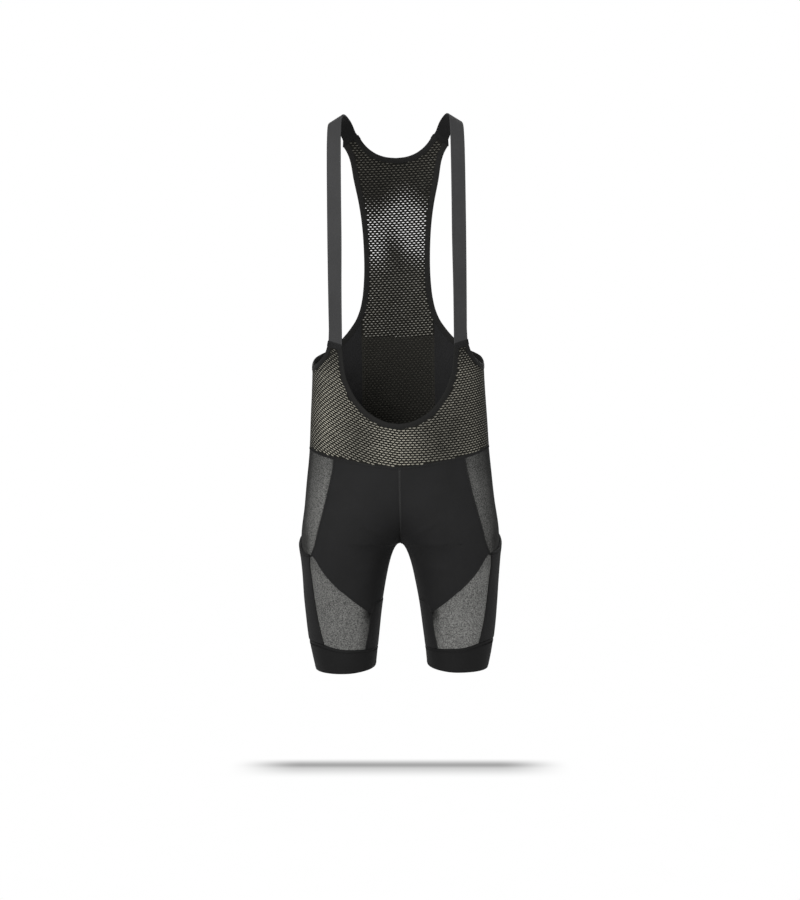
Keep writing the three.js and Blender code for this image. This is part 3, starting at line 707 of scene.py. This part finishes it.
PALE_TAPE = cloth_material("front_flatlock_seam", grey(0.026), grey(0.052), (0.9, 0.6),
                           rough=0.66, rib=0.1, bump=0.1)
THREAD = cloth_material("sewing_thread", grey(0.014), grey(0.034), (0.5, 0.3),
                        rough=0.5, bump=0.04)

# ---------------------------------------------------------------- nets
def in_region(points, ring):
    """Which points lie inside a closed ring, by crossings."""
    x, y = points[:, 0], points[:, 1]
    inside = np.zeros(len(points), bool)
    x1, y1 = ring.T
    x2, y2 = np.roll(ring, -1, 0).T
    for a, b, c, d in zip(x1, y1, x2, y2):
        if b == d:
            continue
        cross = (b > y) != (d > y)
        inside ^= cross & (x < (c - a) * (y - b) / (d - b) + a)
    return inside


def densify(ring, step=0.6):
    out = []
    for a, b in zip(ring, np.roll(ring, -1, 0)):
        n = max(1, int(np.hypot(*(b - a)) / step))
        out.append(a + (b - a) * np.linspace(0, 1, n, endpoint=False)[:, None])
    return np.vstack(out)


LENS = [math.radians(180 + 30 * (m + 1)) for m in range(12)]
LENS_X = np.cos(LENS)
LENS_Y = np.sign(np.sin(LENS)) * (1 - np.abs(LENS_X) ** 1.6)


def net(node_name, border, centre, height, tilt, sweep, pitch, holes, seen_face,
        yarn_painted_light=1.0):
    """Open net of pointed holes in rows. holes gives each hole's width, height, opening and painted
    glow at a real place; seen_face is 1 for the outside, -1 for the inside. The pale walls of the
    holes are painted light, standing in for a lit surface behind the net, and the yarn factor
    lightens the yarn below the rear pocket top as painted light."""
    angles = np.arange(border[:, 0].min() - 6, border[:, 0].max() + 6, 0.5)
    ring3 = form(angles, height)
    arc = run(ring3)
    arc = arc - np.interp(centre, angles, arc)
    shift = (waist_z(angles) + sweep * np.minimum(ring3[:, 0] + 20, 0) ** 2 if sweep
             else 0.0) + tilt * ring3[:, 0]

    def to_cloth(a, z):
        return np.stack([np.interp(a, angles, arc), z - np.interp(a, angles, shift)], -1)

    def to_form(s, r):
        a = np.interp(s, arc, angles)
        return a, r + np.interp(a, angles, shift)

    ring = to_cloth(border[:, 0], border[:, 1])
    wide, tall = pitch
    i0, j0 = np.floor(ring.min(0) / (wide, tall)).astype(int) - 2
    i1, j1 = np.ceil(ring.max(0) / (wide, tall)).astype(int) + 2
    jj, ii = np.meshgrid(np.arange(j0, j1), np.arange(i0, i1), indexing="ij")
    jj, ii = jj.ravel(), ii.ravel()
    left = 2 * ii + jj % 2
    keys = np.stack([np.stack([left, jj], 1), np.stack([left + 1, jj], 1),
                     np.stack([left + 2, jj], 1), np.stack([left + 2, jj + 1], 1),
                     np.stack([left + 1, jj + 1], 1), np.stack([left, jj + 1], 1)], 1)
    flat_keys, back = np.unique(keys.reshape(-1, 2), axis=0, return_inverse=True)
    cells = back.reshape(-1, 6)
    at = flat_keys * (wide / 2, tall)
    at = at + rng.normal(0, 0.07, at.shape)
    inside = in_region(at, ring)
    count = inside[cells].sum(1)
    cells, count = cells[count > 0], count[count > 0]
    whole = count == 6
    outside = np.unique(cells)
    outside = outside[~inside[outside]]
    dense = densify(ring)
    for block in np.array_split(outside, max(1, len(outside) // 200)):
        gap = ((at[block][:, None] - dense[None]) ** 2).sum(2)
        near = dense[gap.argmin(1)]
        at[block] = near + 0.03 * (at[block] - near)
    used, cells = np.unique(cells, return_inverse=True)
    cells, at = cells.reshape(-1, 6), at[used]
    full = cells[whole]
    middle = at[full].mean(1)
    a, z = to_form(middle[:, 0], middle[:, 1])
    real = form(a, z)
    hole_w, hole_h, opening, painted_glow = holes(real, rng)
    tip = np.stack([hole_w[:, None] * LENS_X, hole_h[:, None] * LENS_Y], -1) / 2
    seen = middle[:, None] + tip
    far = middle[:, None] + tip * opening[:, None, None]
    thick = 1.05
    n, m = len(at), len(full)
    corner_h = 0.22
    flat_faces = {}
    layers = []
    for name, pts, h in (("front", at, corner_h), ("back", at, -thick),
                         ("ring_out", (seen if seen_face > 0 else far).reshape(-1, 2), 0.0),
                         ("ring_in", (far if seen_face > 0 else seen).reshape(-1, 2),
                          -thick + 0.1)):
        a, z = to_form(pts[:, 0], pts[:, 1])
        layers.append(placed(a, z, np.full(len(pts), h), 1))
        flat_faces[name] = pts
    verts = np.concatenate(layers)
    start = np.cumsum([0, n, n, 12 * m])
    layers_z = verts[:start[2], 2]
    ring_out = start[2] + np.arange(12 * m).reshape(m, 12)
    ring_in = start[3] + np.arange(12 * m).reshape(m, 12)

    def collar(corner, lens):
        out = []
        for k in range(6):
            c, d = corner[:, k], corner[:, (k + 1) % 6]
            l0, l1, l2 = (lens[:, (2 * k + s) % 12] for s in range(3))
            out += [np.stack([c, d, l1], 1), np.stack([c, l1, l0], 1),
                    np.stack([d, l2, l1], 1)]
        return np.vstack(out)

    tris = [collar(full, ring_out), collar(full + n, ring_in)[:, ::-1]]
    walls = np.stack([ring_out, np.roll(ring_out, -1, 1), np.roll(ring_in, -1, 1),
                      ring_in], 2).reshape(-1, 4)
    part = cells[~whole]
    fans = np.vstack([part[:, [0, k, k + 1]] for k in range(1, 5)])
    edges = np.stack([cells, np.roll(cells, -1, 1)], 2).reshape(-1, 2)
    code = edges.min(1).astype(np.int64) * (n + 1) + edges.max(1)
    _, first, times = np.unique(code, return_index=True, return_counts=True)
    rim = edges[first[times == 1]]
    rim_walls = np.stack([rim[:, 1], rim[:, 0], rim[:, 0] + n, rim[:, 1] + n], 1)
    tri_faces = np.vstack(tris + [fans, fans[:, ::-1] + n])
    quad_faces = np.vstack([walls, rim_walls])
    mats = [np.zeros(len(tri_faces)), np.r_[np.ones(len(walls)), np.zeros(len(rim_walls))]]
    shade = np.ones(len(verts))
    # Painted light: the yarn factor lightens the net's yarn below the rear pocket top, inside the
    # garment.
    shade[:start[2]][layers_z < REAR_POCKET_TOP_Z] = yarn_painted_light
    # Painted light: the pale hole walls take each hole's painted glow, standing in for a lit
    # surface seen through the holes.
    shade[start[2]:] = np.tile(np.repeat(painted_glow, 12), 2)
    uv = np.concatenate([at, at, flat_faces["ring_out"], flat_faces["ring_in"]])
    obj = add_piece(f"{node_name}_cloth", verts, [tri_faces, quad_faces], [YARN, PAINTED_LIGHT_RIM],
                    (node_name,), uv, shade, mats, sharp=55)
    area = 0.5 * abs(float((ring[:, 0] * np.roll(ring[:, 1], -1)
                            - np.roll(ring[:, 0], -1) * ring[:, 1]).sum()))
    declare(float(np.ptp(ring[:, 0])), float(np.ptp(border[:, 1])), area)
    print(node_name, "cells", m, "triangles",
          len(tri_faces) + 2 * len(quad_faces), flush=True)
    return obj


def smooth_noise(x, z, scale, seed):
    """Slow variation between 0 and 1."""
    a = np.sin(x / scale + seed) + np.sin(z / scale * 1.3 + 2.1 * seed)
    b = np.sin((x + z) / scale * 0.7 + 3.7 * seed) + np.sin((x - 1.7 * z) / scale * 0.5)
    return 0.5 + 0.125 * (a + b)


def bump_at(x, z, x0, z0, wide, tall):
    return np.exp(-((x - x0) / wide) ** 2 - ((z - z0) / tall) ** 2)


# Painted light and shade in the front net: the hole walls are painted lighter in patches at the
# left and in the middle, darker in other patches and towards the top and the sides.
def front_holes(p, rng):
    x, z = p[:, 0], p[:, 2]
    n = len(p)
    painted_glow = 0.86 + 0.34 * bump_at(x, z, -118, -500, 30, 60) + 0.26 * bump_at(x, z, -8, -555, 44, 30)
    painted_glow = painted_glow - 0.28 * bump_at(x, z, -64, -545, 28, 46) - 0.32 * bump_at(x, z, 60, -545, 34, 50)
    painted_glow = painted_glow - 0.22 * bump_at(x, z, 100, -520, 40, 60) + 0.22 * (
        smooth_noise(x, z, 26, 1.7) - 0.5)
    horn = np.clip((z + 432) / 46, 0, 1)
    painted_glow = painted_glow * (1 - 0.62 * horn) + rng.normal(0, 0.05, n)
    edge = np.clip((np.abs(x) - 122) / 26, 0, 1)
    painted_glow = np.clip(painted_glow * (1 - 0.5 * edge), 0.06, 1.3)
    big = 1 - 0.22 * horn - 0.2 * edge
    top = 1 - np.clip((z + 392) / 6, 0, 1) * 0.8
    return (5.9 * big * top, 1.95 * big * top + rng.normal(0, 0.06, n), np.full(n, 0.2),
            painted_glow)


# Painted light and shade in the back net: the holes stand open in a lit band across the middle and
# close to dark yarn above and below it and along a slanted swath, where shade falls behind the net;
# the painted glow of the hole walls rises with the opening and towards the top and the lower part,
# and is held low below the rear pocket top.
def back_holes(p, rng):
    x, z = p[:, 0], p[:, 2]
    n = len(p)
    wave = 14 * np.sin(x / 17 + 0.8)
    lit = np.clip((-108 + wave - z) / 42, 0, 1) * np.clip((z + 256 - 0.5 * wave) / 42, 0, 1)
    swath = bump_at(x + 0.2 * (z + 250), z, 2, -228, 17, 40)
    low = np.clip((-205 - z) / 55, 0, 1)
    open_ = 0.05 + 0.80 * lit * (1 - 0.9 * swath) + 0.14 * low
    open_ = open_ + 0.2 * lit * (smooth_noise(x, z, 21, 0.4) - 0.5)
    open_ = np.clip(open_ + rng.normal(0, 0.03, n) * (open_ > 0.1), 0.04, 0.92)
    painted_glow = np.clip(0.17 + 0.34 * open_ + rng.normal(0, 0.02, n), 0.08, 0.5)
    painted_glow = painted_glow + 0.11 * np.clip((z + 120) / 40, 0, 1) + 0.25 * low * (
        0.7 + 0.6 * np.abs(x) / 60)
    painted_glow = np.where(z < REAR_POCKET_TOP_Z, 0.15, painted_glow)
    open_ = np.where(z < REAR_POCKET_TOP_Z, 0.04, open_)
    return np.full(n, 5.3), 1.8 + rng.normal(0, 0.05, n), open_, painted_glow


def inset(line, distance, sign=1):
    return beside(line, sign * distance)


NET_UNDER = 3.0  # how far a net runs in under its bindings
arm_net = beside(arm_edge, -(BINDING_WIDTH - NET_UNDER))
scoop_net = beside(scoop_half, BINDING_WIDTH - NET_UNDER)
scoop_net[-1, 0] = 90
neck_net = beside(neck_half, -(BINDING_WIDTH - NET_UNDER))
neck_net[-1, 0] = -90
arm_net = pull_end(arm_net, arm_edge[0] * 0.8 + scoop_half[0] * 0.2)
arm_net = pull_end(arm_net[::-1], arm_edge[-1] * 0.8 + neck_half[0] * 0.2)[::-1]
scoop_net = pull_end(scoop_net, scoop_half[0] * 0.8 + arm_edge[0] * 0.2)
neck_net = pull_end(neck_net, neck_half[0] * 0.8 + arm_edge[-1] * 0.2)
arm_net_front = arm_net[:int(np.argmax(arm_net[:, 0] < SIDE_SEAM_ANGLE))]
cut = form(arm_net[:, 0], arm_net[:, 1])[:, 0] < BACK_SEAM_X
cut &= arm_net[:, 0] < SIDE_SEAM_ANGLE
arm_net_back = arm_net[int(np.argmax(cut)):]

half_front = np.vstack([
    waist_line(90, SIDE_SEAM_ANGLE, 200), arm_net_front[::-1], scoop_net])
front_border = np.vstack([half_front, mirrored(half_front)[::-1]])
straight = back_straight[back_straight[:, 1] < arm_net_back[0, 1]]
half_back = np.vstack([waist_line(-90, back_foot, 100), straight[::-1],
                       arm_net_back, neck_net])
back_border = np.vstack([half_back, to_left_back(half_back)[::-1]])

net("front_net", front_border, 90, -500, -0.09, 0.0016, (6.9, 3.85), front_holes, 1)
net("back_net", back_border, -90, -300, 0.06, 0.0, (7.05, 4.05), back_holes, -1,
    yarn_painted_light=2.0)

# ---------------------------------------------------------------- bindings
# A strip folded over the edge of the net: share of the width, height over the form.
FOLDED = (
    (1.00, 0.30), (0.985, 0.62), (0.90, 0.78), (0.84, 0.60), (0.78, 0.80), (0.60, 0.96),
    (0.35, 1.00), (0.15, 0.86), (0.04, 0.42), (0.0, -0.30), (0.04, -1.20), (0.15, -1.72),
    (0.35, -1.92), (0.60, -1.90), (0.78, -1.78), (0.84, -1.60), (0.90, -1.72),
    (1.08, -1.68), (1.10, -1.55), (1.08, -1.42), (0.985, -1.30), (0.60, -1.22), (0.30, -1.22), (0.16, -0.95), (0.12, -0.55),
    (0.16, -0.10), (0.30, 0.26), (0.60, 0.30), (0.985, 0.27),
)
STRIP = 2 * BINDING_WIDTH + 4
tube_section("front_neck_binding", scoop_edge, scoop_full, FOLDED, (1,), [BINDING],
             "front_neck_binding", STRIP)
tube_section("back_neck_binding", neck_edge, neck_full, FOLDED, (1,), [BINDING],
             "back_neck_binding", STRIP)
tube_section("armhole_binding", arm_edge, arm_seam, FOLDED, (1, -1), [BINDING],
             "armhole_binding", STRIP)

# ---------------------------------------------------------------- panels
def side_mesh_painted_shade(p):
    """Painted light and shade on the sheer side panels: darker towards the outer side and most at
    the side edge, where the surface turns away, darker towards the waist, and the left panel
    painted lighter than the right, as lit from the left; also darker within 5 mm of the front seam.
    """
    x, z = np.abs(p[..., 0]), p[..., 2]
    outer = side_at(z) - x
    near = np.interp(z, [-713, -640, -567], [140, 120, 105])
    turn = np.clip(outer / 30, 0, 1) ** 0.8
    edge = np.clip((outer - 4 - 7 * np.clip((-z - 670) / 30, 0, 1)) / 8, 0, 1)
    body = np.clip((-z - 560) / 60, 0, 1)
    inner = np.clip((x - near) / 5, 0, 1)
    least = np.where(p[..., 0] < 0, 0.42, 0.28)
    tone = np.where(p[..., 0] < 0, 1.32, 0.98) * (least + (1 - least) * turn) * (
        0.45 + 0.55 * edge)
    return tone * (0.62 + 0.38 * body) * (0.75 + 0.25 * inner)


# Painted light and shade on the sheer thigh panels: darker in the corner by the crotch seam and
# towards the inner seam, the top seam and the outer edge, and the right panel painted lighter than
# the left.
def thigh_mesh_painted_shade(p):
    x, z = np.abs(p[..., 0]), p[..., 2]
    inner = np.clip((x - 49) / 16, 0, 1)
    top_edge = -820 + (x - 48.5) * 0.85
    below = np.clip((top_edge - z + 3) / 12, 0, 1)
    outer = np.clip((150 - x) / 14, 0, 1)
    side = np.where(p[..., 0] < 0, 1.28, 1.52)
    corner = np.clip(np.hypot(x - 48.5, z + 820) / 18, 0.12, 1)
    return corner * side * (0.42 + 0.58 * inner) * (0.80 + 0.20 * below) * (0.75 + 0.25 * outer)


corner_z = float(arm_front[-1, 1])
panel("side_back", (1, -1),
      (arm_under, waist_line(SIDE_SEAM_ANGLE, back_foot),
       np.linspace(arm_under[0], (SIDE_SEAM_ANGLE, float(waist_z(SIDE_SEAM_ANGLE))),
                   LINE_POINTS), back_straight), [BLACK])
panel("front_panel", (1, -1),
      (waist_line(90, mesh_front[0, 0]),
       respace(join(inner_top[::-1], lower_edge[::-1])), centre_front, mesh_front),
      [BLACK], share=True, step=3.4)
panel("side_mesh", (1, -1),
      (waist_line(mesh_front[0, 0], mesh_back[0, 0]), pocket_line, mesh_front, mesh_back),
      [SHEER], inn=0.8, shade=side_mesh_painted_shade)
panel("thigh_mesh", (1, -1),
      (lower_edge, hem_line(thigh_outer[-1, 0], thigh_inner[-1, 0]), thigh_outer,
       thigh_inner), [SHEER], inn=0.8,
      shade=thigh_mesh_painted_shade, step=3.0)
panel("inner_thigh", (1, -1),
      (inner_top, hem_line(thigh_inner[-1, 0], 180), thigh_inner,
       upright(180, INNER_SEAM_Z, HEM_TOP_Z)), [BLACK])
outer_lines = (pocket_line, hem_line(thigh_outer[-1, 0], pocket_back[-1, 0]),
               thigh_outer, pocket_back)
panel("outer_thigh", (1, -1), outer_lines, [BLACK])


def mouth(v, u):
    return MOUTH * (1 - v) ** 8 * np.sin(np.pi * np.clip(u, 0, 1))


panel("thigh_pocket", (1, -1), outer_lines, [BLACK], out=1.35,
      inn=-0.35, extra=mouth, dip=0.8)
seat_outer = respace(join(mesh_back, pocket_back))
panel("seat", (1, -1),
      (waist_line(-90, mesh_back[0, 0]), hem_line(-180, pocket_back[-1, 0]),
       centre_back, seat_outer), [DEEP], share=True,
      step=3.6)

pocket_side = np.array(on_back([(BACK_SEAM_X - 0.5, z) for z in np.linspace(
    REAR_POCKET_TOP_Z, float(waist_z(-65)), 80)]))
panel("rear_pocket", (1,),
      (level(pocket_side[0, 0], -180 - pocket_side[0, 0], REAR_POCKET_TOP_Z),
       waist_line(back_foot, -180 - back_foot), pocket_side, to_left_back(pocket_side)),
      [BLACK], out=1.5, inn=-0.35, dip=0.7)

mouth_t = np.linspace(0, 1, LINE_POINTS)
mouth_top = pocket_line + np.stack(
    [0 * mouth_t, 4 + 6 * np.sin(np.pi * mouth_t)], 1)


def mouth_binding(v, u):
    return MOUTH * (0.15 + 0.85 * v) * np.sin(np.pi * np.clip(u, 0, 1))


panel("pocket_binding", (1, -1),
      (mouth_top, pocket_line, np.vstack([mouth_top[:1], pocket_line[:1]]),
       np.vstack([mouth_top[-1:], pocket_line[-1:]])), [MOUTH_EDGE], out=1.9,
      inn=0.1,
      extra=mouth_binding, dip=1.0,
      size=(length_of(pocket_line), 8.0))

# ---------------------------------------------------------------- hems
HEM_SECTION = ((0.0, 0.15), (0.01, 0.42), (0.05, 0.5), (0.25, 0.52), (0.5, 0.55),
               (0.75, 0.52), (0.86, 0.48), (0.94, 0.42), (0.985, 0.2), (1.0, -0.5),
               (0.985, -1.2), (0.94, -1.45), (0.5, -1.45), (0.05, -1.62), (-0.06, -1.66),
               (-0.07, -1.55), (-0.06, -1.44), (0.0, -1.4), (0.01, -1.2))
around = np.linspace(-180, 180, 221)
hem_top = np.stack([around, hem_top_at(around) - SEAM_GAP / 2], 1)
hem_low = np.stack([around, hem_bottom_at(around)], 1)
tube_section("hem", hem_top[:-1], hem_low[:-1], HEM_SECTION, (1, -1), [HEM],
             "hem", 38.0, closed=True)

# ---------------------------------------------------------------- braces
def strap_grid(rows, columns):
    t = np.linspace(0, 1, rows)
    at, turn = spline(STRAP_AT, t), spline(STRAP_ACROSS, t)
    along = unit(np.gradient(at, axis=0))
    across = unit(turn - along * (turn * along).sum(1, keepdims=True))
    out = unit(np.cross(along, across))
    k = np.array(columns)[None, :, None]
    p = at[:, None] + across[:, None] * k * STRAP_WIDTH / 2
    share = (np.array(columns)[:, None] + 1) / 2
    for end, a, b in ((0, arm_edge[0], scoop_half[0]), (1, arm_edge[-1], neck_half[0])):
        pa, pb = form(*a), form(*b)
        line = pa + (pb - pa) * share + (0, 0, -2.5)
        reach = 1 / 39
        near = np.clip(1 - (t if end == 0 else 1 - t) / reach, 0, 1)[:, None, None]
        hold = p[int(round((reach if end == 0 else 1 - reach) * (rows - 1)))]
        p = np.where(near > 0, hold[None] * (1 - near) + line[None] * near, p)
    return p, np.broadcast_to(out[:, None], p.shape)


COLUMNS = (-1, -0.985, -0.93, -0.86, -0.8, -0.55, -0.3, 0, 0.3, 0.55, 0.8, 0.86, 0.93,
           0.985, 1)
EDGE = np.array([0.35, 0.72, 0.95, 0.95, 0.84, 0.86, 0.88, 0.88, 0.88, 0.86, 0.84, 0.95,
                 0.95, 0.72, 0.35])
STRAP_ROWS = 235
strap_p, strap_n = strap_grid(STRAP_ROWS, COLUMNS)
ends = np.ones(STRAP_ROWS)
ends[0] = ends[-1] = 0.55
for side in (1, -1):
    flip = np.array([side, 1, 1])
    p, n = strap_p * flip, strap_n * flip
    h = (EDGE[None] * ends[:, None])[..., None]
    verts = np.concatenate([(p + n * h).reshape(-1, 3), (p - n * h).reshape(-1, 3)])
    outer, inner, rims = grid_faces(*p.shape[:2])
    across, down = lengths(strap_p)
    uv = np.tile(np.stack([across, down], -1).reshape(-1, 2), (2, 1))
    tone = np.ones(p.shape[:2])
    tone[:, -3:-1] = 1.22
    end = "_right" if side > 0 else "_left"
    obj = add_piece(f"strap{end}_cloth", verts, [outer, inner, rims],
                    [ELASTIC, ELASTIC_IN], ("strap" + end,), uv,
                    np.tile(tone.ravel(), 2),
                    [np.zeros(len(outer)), np.ones(len(inner)), np.ones(len(rims))])
    declare(STRAP_WIDTH, float(down[:, 7].max()), area_of(strap_p))

# ---------------------------------------------------------------- sewn seams
RIDGE = ((0.0, 0.04), (0.06, 0.26), (0.25, 0.42), (0.5, 0.36), (0.75, 0.42), (0.94, 0.26),
         (1.0, 0.04), (0.94, -0.2), (0.5, -0.3), (0.06, -0.2))


def seam(name, line, sides, width=4.0, shift=0.0, lift=0.0, mat=TAPE):
    """A flat seam: its ridge over the join, and the thread that crosses it."""
    near, far = beside(line, shift - width / 2), beside(line, shift + width / 2)
    ridge = tuple((q, h + lift) for q, h in RIDGE)
    tube_section(name, near, far, ridge, sides, [mat])
    for side in sides:
        THREADS.append(thread_path(near, far, side, (0.12, 0.88), (0.50 + lift,), 1.25))
        for q in (0.1, 0.9):
            THREADS.append(thread_path(near, far, side, (q,),
                                       (0.30 + lift, 0.46 + lift, 0.46 + lift, 0.30 + lift),
                                       0.85))


THREADS = []
front_waist = join(waist_line(SIDE_SEAM_ANGLE, 90), mirrored(waist_line(SIDE_SEAM_ANGLE, 90))[::-1])
back_waist = join(waist_line(SIDE_SEAM_ANGLE, -90),
                  to_left_back(waist_line(SIDE_SEAM_ANGLE, -90))[::-1])
seam("waist_seam_front", respace(front_waist, 721), (1,), width=4.6, shift=0.6, lift=-0.12)
seam("waist_seam_back", respace(back_waist, 721), (1,), width=4.6)
seam("centre_front_seam", centre_front[3:], (1,), width=4.2, mat=PALE_TAPE)
seam("centre_back_seam", centre_back[2:], (1,), width=3.6)
seam("side_seam", upright(SIDE_SEAM_ANGLE, corner_z - 1, float(waist_z(SIDE_SEAM_ANGLE))),
     (1, -1))
seam("back_net_seam", back_straight[3:], (1, -1))
seam("side_mesh_front_seam", mesh_front[6:-3], (1, -1), width=3.4, shift=-1.2)
seam("side_mesh_back_seam", mesh_back[6:-3], (1, -1), width=3.4)
seam("thigh_mesh_top_seam", lower_edge[3:-3], (1, -1), width=3.4, shift=-1.2)
seam("thigh_mesh_inner_seam", thigh_inner[6:-4], (1, -1), width=3.4, shift=1.0)
seam("thigh_pocket_front_seam", thigh_outer[10:-4], (1, -1), width=3.2, lift=0.9,
     shift=0.8)
seam("thigh_pocket_back_seam", pocket_back[10:-4], (1, -1), width=3.2, lift=0.9,
     shift=0.8)
seam("inner_thigh_seam", inner_top[6:-4], (1, -1), width=3.4)
seam("inside_leg_seam", upright(180, INNER_SEAM_Z - 1, HEM_TOP_Z + 1), (-1,), width=3.4)
seam("inside_leg_seam_right", upright(180, INNER_SEAM_Z - 1, HEM_TOP_Z + 1), (1,),
     width=3.4)

# the crossing of the seams over the crotch, laid inside the panels
cross_x, cross_y = np.meshgrid(np.linspace(-5.5, 5.5, 9), np.linspace(5.5, -5.5, 5))
arch = np.stack([cross_x, cross_y, CROTCH_Z - (cross_x / CROTCH_ARCH) ** 2], -1)
inward = unit(np.stack([2 * cross_x / CROTCH_ARCH**2, 0 * cross_x, 1 + 0 * cross_x], -1))
cross_uv = np.tile(np.stack([cross_x, cross_y], -1).reshape(-1, 2), (2, 1))
add_piece("crotch_seam_crossing", np.concatenate([
    (arch + 0.5 * inward).reshape(-1, 3), (arch + 1.7 * inward).reshape(-1, 3)]),
    grid_faces(*cross_x.shape), [TAPE], (), cross_uv)

front_joint = np.linspace(arm_edge[0] + (0, 2), scoop_half[0], 61)
back_joint = np.linspace(arm_edge[-1], neck_half[0], 61)
seam("front_brace_joint", front_joint, (1, -1), width=9.5, shift=4.6, lift=0.85)
seam("back_brace_joint", back_joint, (1, -1), width=8.5, shift=-4.2, lift=0.85)
for side in (1, -1):
    THREADS.append(thread_path(arm_edge, arm_seam, side, (0.84,), (0.56, 0.86, 0.86, 0.56), 0.8))
    THREADS.append(thread_path(hem_top, hem_low, side, (0.06, 0.13), (0.66,), 1.3))
    THREADS.append(thread_path(hem_top, hem_low, side, (0.88,), (0.4, 0.66, 0.66, 0.4), 0.8))
THREADS.append(thread_path(scoop_edge, scoop_full, 1, (0.84,), (0.56, 0.86, 0.86, 0.56), 0.8))
THREADS.append(thread_path(neck_edge, neck_full, 1, (0.84,), (0.56, 0.86, 0.86, 0.56), 0.8))
THREADS.append(thread_path(neck_edge, neck_full, 1, (0.84,), (-1.56, -1.84, -1.84, -1.56), 0.8))
verts, faces = tube(THREADS, 0.17)
flat = np.stack([np.arange(len(verts)) * 0.2, np.arange(len(verts)) % 4 * 0.27], 1)
add_piece("seam_threads", verts, faces, [THREAD], (), flat, sharp=80)
print("threads", len(faces[0]) * 2, flush=True)

# ---------------------------------------------------------------- floor, with a painted shadow
def fade(tree, value, start, stop):
    """One below start, nothing past stop, and smooth between."""
    return node(tree, "ShaderNodeMapRange", {"Value": value, "From Min": start,
                                             "From Max": stop, "To Min": 1.0, "To Max": 0.0},
                interpolation_type="SMOOTHSTEP").outputs[0]


def floor_material():
    mat = bpy.data.materials.new("studio_floor_painted_shadow")
    mat.use_nodes = True
    tree = mat.node_tree
    tree.nodes.clear()
    place = node(tree, "ShaderNodeTexCoord").outputs["Object"]
    # Painted shadow: a soft dark ellipse on the floor under the garment, flat across the middle and
    # fading towards both ends, fading fast behind and more slowly in front, carried by the floor's
    # emission.
    at = node(tree, "ShaderNodeSeparateXYZ", {0: place})
    side = fade(tree, math_node(tree, "ABSOLUTE", at.outputs[0]), 0.16, 0.285)
    behind = fade(tree, at.outputs[1], 0.0, 0.068)
    ahead = math_node(tree, "MULTIPLY", at.outputs[1], -1.0)
    core = math_node(tree, "MULTIPLY", fade(tree, ahead, 0.0, 0.035), 0.3)
    halo = math_node(tree, "MULTIPLY", fade(tree, ahead, 0.0, 0.125), 0.7)
    depth = math_node(tree, "MULTIPLY", math_node(tree, "MULTIPLY", side, behind),
                      math_node(tree, "ADD", core, halo))
    tone = remap(tree, depth, 0.0, 1.0, 1.0, 0.387)
    grain = node(tree, "ShaderNodeTexNoise", {"Vector": place, "Scale": 14.0}).outputs[0]
    tone = math_node(tree, "SUBTRACT", tone, remap(tree, grain, 0.4, 0.6, 0.0, 0.002))
    path = node(tree, "ShaderNodeLightPath").outputs["Is Camera Ray"]
    power = remap(tree, path, 0.0, 1.0, 0.35, 1.0)
    painted_glow = node(tree, "ShaderNodeEmission", {"Color": node(
        tree, "ShaderNodeCombineXYZ", {0: tone, 1: tone, 2: tone}).outputs[0],
        "Strength": power})
    out = node(tree, "ShaderNodeOutputMaterial")
    tree.links.new(painted_glow.outputs[0], out.inputs[0])
    return mat


FLOOR_Z, CAMERA_ROLL = -1.076, 0.67
floor_mesh = bpy.data.meshes.new("floor")
R = 6.0
floor_mesh.from_pydata([(-R, -R, 0), (R, -R, 0), (R, R, 0), (-R, R, 0)], [],
                       [(0, 1, 2, 3)])
floor = bpy.data.objects.new("floor", floor_mesh)
floor.location = (-0.0049, 0, FLOOR_Z)
floor.rotation_euler = (0, math.radians(CAMERA_ROLL), 0)
floor_mesh.materials.append(floor_material())
scene.collection.objects.link(floor)

# ---------------------------------------------------------------- light and camera
scene.view_settings.view_transform = "Standard"
scene.view_settings.look = "None"
world = bpy.data.worlds.new("studio")
scene.world = world
world.use_nodes = True
tree = world.node_tree
tree.nodes.clear()
camera_ray = node(tree, "ShaderNodeLightPath").outputs["Is Camera Ray"]
power = remap(tree, camera_ray, 0.0, 1.0, 0.42, 1.0)
backdrop = node(tree, "ShaderNodeBackground", {"Color": (1, 1, 1, 1), "Strength": power})
tree.links.new(backdrop.outputs[0],
               node(tree, "ShaderNodeOutputWorld").inputs[0])


def area_light(name, at, aim, size, watts):
    data = bpy.data.lights.new(name, "AREA")
    data.shape = "RECTANGLE"
    data.size, data.size_y = size
    data.energy = watts
    lamp = bpy.data.objects.new(name, data)
    lamp.location = at
    lamp.rotation_euler = (Vector(aim) - Vector(at)).to_track_quat("-Z", "Y").to_euler()
    scene.collection.objects.link(lamp)


area_light("key", (-1.6, -2.9, 0.5), (0, 0, -0.5), (1.8, 2.2), 60)
area_light("fill", (2.2, -2.2, -0.1), (0, 0, -0.5), (1.6, 1.8), 14)
area_light("rear", (0.4, 2.6, 0.6), (0, 0, -0.45), (2.2, 1.6), 30)

CAMERA_Y, CAMERA_Z = -3.0, -0.556
camera_data = bpy.data.cameras.new("camera")
camera_data.lens = 72.7
camera_data.sensor_width = 36
camera_data.clip_end = 50
camera = bpy.data.objects.new("camera", camera_data)
camera.location = (0.0012, CAMERA_Y, CAMERA_Z)
camera.rotation_euler = (math.radians(90), math.radians(CAMERA_ROLL), 0)
scene.collection.objects.link(camera)
scene.camera = camera
